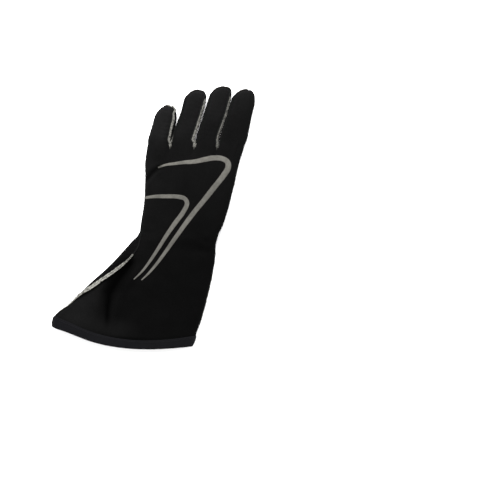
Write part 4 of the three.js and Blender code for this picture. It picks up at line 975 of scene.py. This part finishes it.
def comb_panel(name, hand_grid, finger_grids, under, material, wall, hole=False):
    """One comb-shaped panel: the hand's grid, and a grid for each finger that shares the knuckle row."""
    last = len(hand_grid) - 1
    body = pucker(hand_grid, under, 1 - smooth(np.arange(last + 1), last - 13, last)[:, None])
    u = (column_shares(under) - 0.5) * walk(hand_grid)[:, -1:]
    v = hand_grid[:, :, 1].mean(axis=1)[:, None]
    numbers = numbered(body)
    points, faces = [body.reshape(-1, 3)], [grid_faces(numbers, under)]
    uvs = [flat_map(u, v).reshape(-1, 2)]
    used = numbers.size
    for i, finger_grid in enumerate(finger_grids):
        grid = pucker(finger_grid, under, smooth(np.arange(len(finger_grid)), 6, 26)[:, None])
        columns = finger_columns(i)
        rows = numbered(grid[1:], used)
        faces.append(grid_faces(np.vstack([numbers[-1:, columns], rows]), under))
        grown = grid[1:] - grid[0]
        points.append(grid[1:].reshape(-1, 3))
        uvs.append(flat_map(u[-1, columns] + grown[..., 0], v[-1] + grown[..., 1]).reshape(-1, 2))
        used += rows.size
    points, faces = np.concatenate(points), np.concatenate(faces)
    if hole:
        points, faces = cut_hole(points, faces)
    make_piece(f"{name}_cloth", name, points, faces, material, uv=np.concatenate(uvs), wall=wall)


def cut_hole(points, faces):
    """Drops the faces inside the thumb's oval hole, between two heights, after moving the vertices
    nearest the oval onto it."""
    low, high = CUT_HEIGHTS
    away = np.linalg.norm((points[:, :2] - HOLE_CENTRE) / HOLE_RADII, axis=1)
    here = (points[:, 2] > low) & (points[:, 2] < high)
    on_rim = here & (np.abs(away - 1) < RIM_SHARE)
    moved = points.copy()
    moved[on_rim, :2] = HOLE_CENTRE + (points[on_rim, :2] - HOLE_CENTRE) / away[on_rim, None]
    inside = here & (away < 1 + RIM_SHARE)
    return moved, faces[~inside[faces].all(axis=1)]


def side_strip(i):
    """The strip between two fingers: down the wall of one, round the crotch and up the next."""
    right, left = notch_walls(i)
    grid = np.concatenate([right[::-1], left[1:]])
    corner, above, along = grid[len(right) // 2, 0], grid[len(right) // 2, 1], grid[len(right) // 2 + 1, 0]
    faces = grid_faces(numbered(grid), flip=np.cross(above - corner, along - corner)[0] >= 0)
    make_piece(
        f"fourchette_{NOTCHES[i]['name']}_cloth", f"fourchette_{NOTCHES[i]['name']}", grid, faces,
        BACK_CLOTH, uv=flat_map(grid[..., 2], walk(grid[:, 0])[:, None]), wall=PALM_WALL,
    )


def back_row(x, y):
    """Row place whose section passes through each point, by halving the range of rows 30 times."""
    low, high = np.zeros(len(x)), np.full(len(x), float(LAST_SECTION))
    for _ in range(30):
        middle = (low + high) / 2
        below = Hand(middle).y(x[:, None])[:, 0] < y
        low, high = np.where(below, middle, low), np.where(below, high, middle)
    return (low + high) / 2


def back_height(x, y):
    """Height of the back's outer face above points in plan."""
    return Hand(back_row(x, y)).top(x[:, None])[:, 0]


comb_panel("back_panel", back_hand, back_fingers, False, BACK_CLOTH, BACK_WALL)
comb_panel("palm_panel", palm_hand, palm_fingers, True, PALM_CLOTH, PALM_WALL, hole=True)
for notch in range(3):
    side_strip(notch)


# Raw-edge seams
def wander(distance, step, seed):
    """Smooth random values between -1 and 1 along a distance, new about every step."""
    rng = np.random.default_rng(seed)
    knots = np.arange(distance[0] - 2 * step, distance[-1] + 3 * step, step)
    return curve_through(knots, rng.uniform(-1, 1, len(knots)))(distance)


def seam_course(path, first_side, second_side):
    """Evenly spaced places on a seam. The flap stands along the mean of the two cloths' normals, and
    across it is the direction from one cloth to the other."""
    apart = np.linalg.norm(np.diff(path, axis=0), axis=1) > 1e-4
    keep = np.concatenate([[True], apart])
    path, outward = path[keep], unit(first_side + second_side)[keep]
    walked = walk(path)
    even = np.linspace(0, walked[-1], int(walked[-1] / SEAM_STEP) + 1)
    point = sample(path, walked, even)
    window = np.hanning(13)[1:-1] / np.hanning(13)[1:-1].sum()
    padded = np.pad(sample(outward, walked, even), ((5, 5), (0, 0)), mode="edge")
    turned = unit(np.stack([np.convolve(column, window, mode="valid") for column in padded.T], axis=-1))
    tangent = unit(np.gradient(point, axis=0))
    across = unit(np.cross(tangent, turned))
    return {"walked": even, "point": point, "outward": unit(np.cross(across, tangent)), "across": across}


def seam_flap(name, course, height, width, lean, pale, seed, ends=0.35):
    """Two plies of cut cloth standing on a seam: a grooved profile carried along the course. Height,
    width, lean and paleness are numbers or values along it, and the cut edge is frayed by smooth random
    moves. ends is the share of the height and width that is left at both ends."""
    walked = course["walked"]
    rng = np.random.default_rng(seed)
    taper = lerp(ends, 1, smooth(np.minimum(walked, walked[-1] - walked), 0, 3.5))
    tall = height * (1 + 0.1 * wander(walked, 9, seed) + 0.07 * wander(walked, 2.4, seed + 1)) * taper
    wide = width * (1 + 0.1 * wander(walked, 6, seed + 2) + 0.08 * wander(walked, 1.9, seed + 3)) * taper
    sway = lean + 0.35 * wander(walked, 14, seed + 4)
    tall, wide, sway = tall[:, None], wide[:, None], sway[:, None]
    fray = rng.normal(0, 1, (2, len(walked), len(FLAP_UP)))
    fray = (fray + np.roll(fray, 1, axis=1)) * 0.13 * smooth(FLAP_UP, 0.5, 0.95)
    fray = fray * np.clip(tall / 1.8, 0, 1)
    raised = np.clip(FLAP_UP, 0, 1)
    up = tall * FLAP_UP + fray[0]
    side = wide * FLAP_ACROSS + fray[1] + sway * raised**1.5
    points = (
        course["point"][:, None]
        + side[..., None] * course["across"][:, None]
        + up[..., None] * course["outward"][:, None]
    )
    edge, shown = np.broadcast_to(raised, up.shape), np.broadcast_to(np.reshape(pale, (-1, 1)), up.shape)
    make_piece(
        f"{name}_edge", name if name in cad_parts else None, points, tube_faces(points),
        SEAM_EDGE, values={"edge": edge, "pale": shown},
    )


back_normals = [grid_normals(grid) for grid in back_fingers]
palm_normals = [-grid_normals(grid) for grid in palm_fingers]
hand_back_normals, hand_palm_normals = grid_normals(back_hand), -grid_normals(palm_hand)


def round_tip(points, finger):
    """Direction of a flap round a fingertip: away from the middle of the tip's start, tilted upward by
    TIP_RISE."""
    return unit((points - fingers[finger].tip) * [1, 1, 0] + [0, 0, 1e-6]) + [0, 0, TIP_RISE[finger]]


def side_seam(finger, column):
    """Course of a side seam: the hand's edge, the finger's outer edge and over the tip to where the
    seam of the finger's other side begins."""
    back = back_fingers[finger]
    end = back[-1] if column == 0 else back[-1, ::-1]
    out = round_tip(end, finger)
    path = np.concatenate([back_hand[:, column], back[1:-1, column], end])
    first = np.concatenate([hand_back_normals[:, column], back_normals[finger][1:-1, column], out])
    second = np.concatenate([hand_palm_normals[:, column], palm_normals[finger][1:-1, column], out])
    return seam_course(path, first, second)


def notch_seam(i, on_back):
    """Course round a notch: over one fingertip, down that finger's edge, round the crotch, up the next."""
    sheets, normals = (back_fingers, back_normals) if on_back else (palm_fingers, palm_normals)
    right, left = notch_walls(i)
    column = -1 if on_back else 0
    wall_right, wall_left = grid_normals(right)[:, column], -grid_normals(left)[:, column]
    if wall_right[len(wall_right) // 2, 0] < 0:
        wall_right, wall_left = -wall_right, -wall_left
    dome = slice(STRAIGHT_ROWS, None)
    wall_right[dome] = round_tip(sheets[i][dome, -1], i)
    wall_left[dome] = round_tip(sheets[i + 1][dome, 0], i + 1)
    over = sheets[i][-1, :-1] if i > 0 else sheets[i][-1, -2:-1]
    over_normals = round_tip(over, i)
    down, up = slice(TIP_ROW, None, -1), slice(1, TIP_ROW + 1)
    meeting = sheets[i + 1][-1, 1:SHARED_COLUMNS]
    meeting_normals = round_tip(meeting, i + 1)
    path = np.concatenate([over, sheets[i][down, -1], sheets[i + 1][up, 0], meeting])
    first = np.concatenate([over_normals, normals[i][down, -1], normals[i + 1][up, 0], meeting_normals])
    second = np.concatenate([over_normals, wall_right[down], wall_left[up], meeting_normals])
    course = seam_course(path, first, second)
    crotch = np.argmin(np.linalg.norm(course["point"] - sheets[i][0, -1], axis=1))
    course["past_crotch"] = course["walked"] - course["walked"][crotch]
    return course


def little_side_seam():
    """Broad pale flap down the flare, growing from a point at its upper end; low and dark where the
    wrist folds over it and near the hem; slim on the hand, pale again round the fingertip."""
    course = side_seam(0, 0)
    x, y, _ = course["point"].T
    on_flare = (1 - smooth(y, FLARE_TOP - 34, FLARE_TOP + 4)) * smooth(y, FLARE_FOOT + 8, FLARE_FOOT + 34)
    shown = (1 - smooth(y, FLARE_TOP - 1, FLARE_TOP)) * smooth(y, FLARE_FOOT - 2, FLARE_FOOT + 1)
    at_tip = smooth(y, 148, 154) * smooth(x, -60, -52)
    height = 0.8 + 2.6 * on_flare + 1.4 * at_tip + 0.4 * shown
    width = 1.5 + 2.3 * on_flare + 1.1 * at_tip
    pale = np.clip(shown * (1 - 0.4 * smooth(y, -58, FLARE_TOP)) + 0.6 * at_tip, 0, 1)
    pale = np.maximum(pale, 0.5 * bell(y, 45, 6))
    seam_flap("seam_little_side", course, height, width, 1.2 * on_flare, pale, 11)


def index_side_seam():
    """Slim flap down the index side, pale along the gauntlet and darker on the hand and finger."""
    course = side_seam(3, -1)
    y = course["point"][:, 1]
    on_gauntlet = smooth(y, -106, -96) * (1 - smooth(y, -44, -28))
    height, width, pale = 1.1 + on_gauntlet, 1.7 + 0.5 * on_gauntlet, 0.04 + 0.7 * on_gauntlet
    seam_flap("seam_index_side", course, height, width, 0, pale, 23)


def finger_seams(i):
    """Seams of one notch. The back seam is broad and pale on the finger it comes down, narrow and only
    pale near the crotch on the next one, lies flatter round both fingertips and in the crotch. The palm
    seam is slim all the way."""
    notch = NOTCHES[i]
    course = notch_seam(i, True)
    past, y = course["past_crotch"], course["point"][:, 1]
    coming = 1 - smooth(past, -1, 2)
    tip = np.where(past < 0, FINGERS[i]["tip"][1], FINGERS[i + 1]["tip"][1])
    over_tip = smooth(y, tip - 15, tip - 5)
    rising = 1 - smooth(past, notch["rising"] - 5, notch["rising"] + 5)
    shown = notch["pale"] * np.clip(coming + rising, 0, 1) * (1 - 0.7 * bell(past, 1.5, 3))
    shown = shown * (1 - notch["dark"] * smooth(y, tip - 11, tip - 6))
    flatter = (1 - notch["flat"] * over_tip * coming) * (1 - 0.55 * over_tip * (1 - coming))
    flatter = flatter * (1 - 0.3 * bell(past, 0, 2.5))
    height, width = (2.2 + 0.5 * coming) * flatter, lerp(1.9, notch["broad"], coming) * flatter
    lean = notch["lean"] * coming
    seam_flap(f"seam_back_{notch['name']}", course, height, width, lean, shown, 41 + 7 * i, 0.9)
    seam_flap(f"seam_palm_{notch['name']}", notch_seam(i, False), 1.8, 1.8, 0, 0.5, 40 + 7 * i, 0.9)


def crotch_tail(i):
    """The notch's seam runs out in a short point on the back of the hand, straight back from the crotch."""
    start = back_hand[-1, (i + 1) * FINGER_COLUMNS]
    reach = np.linspace(*TAIL_REACH, 20)
    path = start + reach[:, None] * [-0.2, 1.0, 0.0]
    on_hand = back_height(path[:, 0], np.minimum(path[:, 1], start[1] - 0.01))
    path[:, 2] = np.where(reach > 0, start[2], on_hand)
    up = np.tile([0.0, 0.0, 1.0], (len(path), 1))
    course = seam_course(path, up, up)
    point = 1 - smooth(course["walked"], 0.45 * course["walked"][-1], course["walked"][-1])
    height, width, pale = 0.5 + 1.7 * point, 0.7 + 1.6 * point, NOTCHES[i]["pale"] * (0.3 + 0.7 * point)
    seam_flap(f"seam_tail_{NOTCHES[i]['name']}", course, height, width, 0, pale, 90 + i, 0.7)


little_side_seam()
index_side_seam()
for notch in range(3):
    finger_seams(notch)
    crotch_tail(notch)


# Stripes
def stripe(name, table):
    """A strip laid on the back: a smooth course through the table, and across it a flat top with
    rounded edges that sink into the cloth."""
    middle_x, middle_y, broad = np.array(table, float).T
    chords = np.hypot(np.diff(middle_x), np.diff(middle_y))
    marks = np.concatenate([[0], np.cumsum(np.sqrt(chords))])
    fine = np.linspace(0, marks[-1], STRIPE_ROWS)
    course = np.stack([spline(marks, middle_x, fine), spline(marks, middle_y, fine)], axis=-1)
    walked = walk(course)
    tangent = unit(np.gradient(course, axis=0))
    rough = 1 + 0.025 * wander(walked, 3, len(table)) + 0.02 * wander(walked, 11, len(table) + 1)
    side = STRIPE_ACROSS * (np.interp(fine, marks, broad) * rough)[:, None]
    x = course[:, :1] - tangent[:, 1:] * side
    y = course[:, 1:] + tangent[:, :1] * side
    z = back_height(x.ravel(), y.ravel()).reshape(x.shape) + STRIPE_LIFT
    points = np.stack([x, y, z], axis=-1)
    edge = {"edge": np.broadcast_to(np.abs(2 * STRIPE_ACROSS), x.shape)}
    make_piece(f"{name}_suede", name, points, tube_faces(points), SUEDE, values=edge)


stripe("stripe_outer", STRIPE_OUTER)
stripe("stripe_inner", STRIPE_INNER)


# Hem
def hem_profile():
    """Section of the braid as share of the band's width, distance out from the cloth and distance past
    its edge: down the outside, round the edge in a half circle, up the inside and round the cloth."""
    inside = -max(BACK_WALL, PALM_WALL) - BRAID_GAP
    lining = inside - BRAID_THICK
    middle, radius = (BRAID_COVER + lining) / 2, (BRAID_COVER - lining) / 2
    outer = [(1.0, 0.4, 0), (1.0, 0.9, 0), (0.97, 1.3, 0)]
    outer += [(width, BRAID_COVER, 0) for width in (0.9, 0.75, 0.5, 0.25, 0.1, 0)]
    angles = np.linspace(0, math.pi, 9)[1:-1]
    turn = [(0, middle + radius * math.cos(a), 0.9 * math.sin(a) * radius) for a in angles]
    inner = [(width, lining, 0) for width in (0, 0.25, 0.5, 0.75, 0.93)]
    inner += [(1.0, inside - 0.5, 0), (1.0, inside, 0), (0.5, inside, 0), (0, inside, 0.3)]
    return outer + turn + inner + [(0, BRAID_GAP, 0.3), (0.5, BRAID_GAP, 0)]


def hem_binding():
    """Braid folded over the edge of both panels: a U-shaped profile carried round the mouth."""
    rings = Hand(np.linspace(0, 1, 13)).rings()
    band = rings.at(rings.length * np.linspace(0, 1, HEM_COLUMNS, endpoint=False))
    closed = np.concatenate([band[:, -2:], band, band[:, :2]], axis=1)
    normals = grid_normals(closed)[:, 2:-2]
    beyond = unit(band[0] - band[1])
    rows = []
    for width, out, past in hem_profile():
        at = width * (len(band) - 1)
        low = min(int(at), len(band) - 2)
        base = lerp(band[low], band[low + 1], at - low)
        normal = unit(lerp(normals[low], normals[low + 1], at - low))
        rows.append(base + normal * out + beyond * past)
    points = np.stack(rows, axis=1)
    make_piece(
        "hem_binding_braid", "hem_binding", points, tube_faces(points, ring=True), BRAID,
        uv=flat_map(walk(band[0])[:, None], walk(points).mean(axis=0)),
    )


def hem_stitches():
    """Thread row that holds the braid, two millimetres below its upper edge. The row is walked at an
    even pitch, and each stitch is a round bar along it whose ends dip into the braid."""
    rings = Hand(np.array([STITCHES["row"], 0.9])).rings()
    band = rings.at(rings.length * np.linspace(0, 1, 700))
    normals = grid_normals(band)[0]
    path = band[0] + normals * BRAID_COVER
    walked = walk(path)
    share = np.linspace(-1, 1, 7)
    middles = np.arange(STITCHES["pitch"] / 2, walked[-1], STITCHES["pitch"])
    places = middles[:, None] + share * STITCHES["length"] / 2
    at, up = sample(path, walked, places), unit(sample(normals, walked, places))
    across = np.cross(unit(np.gradient(at, axis=1)), up)
    centre = at + up * (STITCHES["thick"] * (0.75 - 1.5 * share**4))[:, None]
    turn = np.linspace(0, math.tau, 6, endpoint=False)[:, None]
    ring = across[:, :, None] * np.cos(turn) + up[:, :, None] * np.sin(turn)
    points = centre[:, :, None] + ring * (STITCHES["thick"] * np.sqrt(1 - 0.6 * share**4))[:, None, None]
    one = tube_faces(points[0])
    starts = numbered(points.reshape(len(points), -1, 3))[:, 0]
    faces = [np.add(face, start) for start in starts for face in one]
    make_piece("hem_stitches", None, points, faces, THREAD)


hem_binding()
hem_stitches()


# Thumb
def thumb_place(share):
    """Middle and half width of the thumb at shares of its length, and the rounding of both its ends."""
    length = THUMB_TIP[1] - THUMB_REAR[1]
    rounding = 1
    for end, way in ((THUMB_REAR_ROUND, share), (THUMB_TIP_ROUND, 1 - share)):
        inside = np.minimum(1, way * length / end["length"])
        rounding = rounding * np.sqrt(np.clip(1 - (1 - inside) ** end["power"], 0, 1))
    x = lerp(THUMB_REAR[0], THUMB_TIP[0], share)
    y = lerp(THUMB_REAR[1], THUMB_TIP[1], share)
    return x, y, lerp(*THUMB_WIDTH, share) / 2 * np.maximum(0.06, rounding), rounding


def thumb():
    """Flattened tube: superellipse sections along the thumb's line, drawn in at both ends."""
    share = (1 - np.cos(np.linspace(0, math.pi, THUMB_ROWS))) / 2
    middle, y, half, rounding = thumb_place(share[:, None])
    tall = THUMB_HEIGHT / 2 * np.maximum(0.1, rounding**0.6)
    angle = np.linspace(0, math.tau, THUMB_COLUMNS, endpoint=False)
    cosine, sine = np.cos(angle), np.sin(angle)
    x = middle + half * np.sign(cosine) * np.abs(cosine) ** 0.6
    z = THUMB_HEIGHT / 2 + tall * np.sign(sine) * np.abs(sine) ** 0.45
    points = np.stack(np.broadcast_arrays(x, y, z), axis=-1)
    *quads, rear_cap, tip_cap = tube_faces(points)
    uv = points[..., :2]
    points, quads = cut_hole(points.reshape(-1, 3), np.array(quads))
    faces = [*quads, rear_cap, tip_cap]
    make_piece("thumb_cloth", "thumb", points, faces, PALM_CLOTH, uv=uv, wall=THUMB_WALL)


def thumb_seam():
    """Seam up the thumb's little side, round its tip and back down the index side. Its flap stands out
    sideways, and round the tip away from the thumb's middle."""
    even = np.linspace(THUMB_SEAM_START, 1, THUMB_SEAM_ROWS)
    share = np.maximum(1 - (1 - even) ** 1.6, THUMB_SEAM_START)
    x, y, half, _ = thumb_place(share)
    level = np.full_like(x, THUMB_HEIGHT / 2)
    left = np.stack([x - half, y, level], axis=-1)
    right = np.stack([x + half, y, level], axis=-1)
    path = np.concatenate([left, right[::-1]])
    sideways = np.sign(path[:, :1] - np.concatenate([x, x[::-1]])[:, None]) * [1.0, 0, 0]
    away = unit(path - [THUMB_TIP[0], THUMB_TIP[1] - 30, THUMB_HEIGHT / 2])
    tip = smooth(path[:, 1:2], THUMB_TIP[1] - 16, THUMB_TIP[1] - 2)
    outward = unit(lerp(sideways, away, tip))
    seam_flap("seam_thumb", seam_course(path, outward, outward), 1.9, 1.8, 0, 1, 77)


def root_seam():
    """Oval seam between the palm's hole and the thumb: a rounded section carried round the oval."""
    turn = np.linspace(0, math.tau, ROOT_SEAM_ROWS, endpoint=False)[:, None]
    section = np.linspace(0, math.tau, 14, endpoint=False)
    low, high = THUMB_HEIGHT - THUMB_WALL, PALM_OVER_THUMB + PALM_WALL + 0.4
    inset = 1.05 + 0.72 * np.cos(section)
    squashed = np.sin(section) * (1 - 0.1 * np.abs(np.cos(section)))
    x = HOLE_CENTRE[0] + np.cos(turn) * (HOLE_RADII[0] - inset)
    y = HOLE_CENTRE[1] + np.sin(turn) * (HOLE_RADII[1] - inset)
    z = (low + high) / 2 + (high - low) / 2 * squashed
    points = np.stack(np.broadcast_arrays(x, y, z), axis=-1)
    make_piece(
        "thumb_root_seam_roll", "thumb_root_seam", points, tube_faces(points, ring=True),
        PALM_CLOTH, uv=flat_map(turn * HOLE_RADII[0], section * 2),
    )


thumb()
thumb_seam()
root_seam()

# Stage, light and camera, lengths in metres apart from the point that the camera looks down on
FLOOR_HALF = 3.0
FLOOR_DROP = 0.0004
FLOOR_TONE = 0.95
SURROUND = 1.7
LAMP = {"size": (0.7, 0.5), "power": 24, "place": (-0.18, 0.62, 0.62), "turn": (-44, 0, 16)}
VIEW_CENTRE = (92.7, 4.73, 0.0)
VIEW_WIDTH = 0.637
VIEW_TURN = math.radians(14)
LENS = 120.0
SENSOR = 36.0
CLOTH_LEVEL = 0.012


def set_stage():
    """A plain pale floor, an even white surround and one broad soft lamp beyond the fingertips."""
    points = np.array([(-1, -1, 0), (1, -1, 0), (1, 1, 0), (-1, 1, 0)]) * FLOOR_HALF
    mesh = bpy.data.meshes.new("floor")
    mesh.from_pydata(points, [], [(0, 1, 2, 3)])
    material, _, shader = start_material("pale_floor", Roughness=0.9, Specular_IOR_Level=0.1)
    shader.inputs["Base Color"].default_value = (FLOOR_TONE, FLOOR_TONE, FLOOR_TONE, 1)
    mesh.materials.append(material)
    floor = bpy.data.objects.new("floor", mesh)
    floor.location.z = -FLOOR_DROP
    bpy.context.scene.collection.objects.link(floor)
    world = bpy.data.worlds.new("soft_surround")
    world.use_nodes = True
    world.node_tree.nodes["Background"].inputs["Color"].default_value = (1, 1, 1, 1)
    world.node_tree.nodes["Background"].inputs["Strength"].default_value = SURROUND
    bpy.context.scene.world = world
    lamp = bpy.data.lights.new("soft_lamp", "AREA")
    lamp.shape = "RECTANGLE"
    lamp.size, lamp.size_y = LAMP["size"]
    lamp.energy = LAMP["power"]
    lamp_object = bpy.data.objects.new("soft_lamp", lamp)
    lamp_object.location = LAMP["place"]
    lamp_object.rotation_euler = [math.radians(angle) for angle in LAMP["turn"]]
    bpy.context.scene.collection.objects.link(lamp_object)


def set_camera():
    """Straight above, turned so that the glove leans as in the photograph."""
    camera = bpy.data.cameras.new("camera")
    camera.lens = LENS
    camera.sensor_width = SENSOR
    view = bpy.data.objects.new("camera", camera)
    x, y, _ = metres(np.array(VIEW_CENTRE))
    view.location = (x, y, VIEW_WIDTH * LENS / SENSOR + CLOTH_LEVEL)
    view.rotation_euler = (0, 0, VIEW_TURN)
    bpy.context.scene.collection.objects.link(view)
    bpy.context.scene.camera = view
    bpy.context.scene.view_settings.view_transform = "Standard"


set_stage()
set_camera()
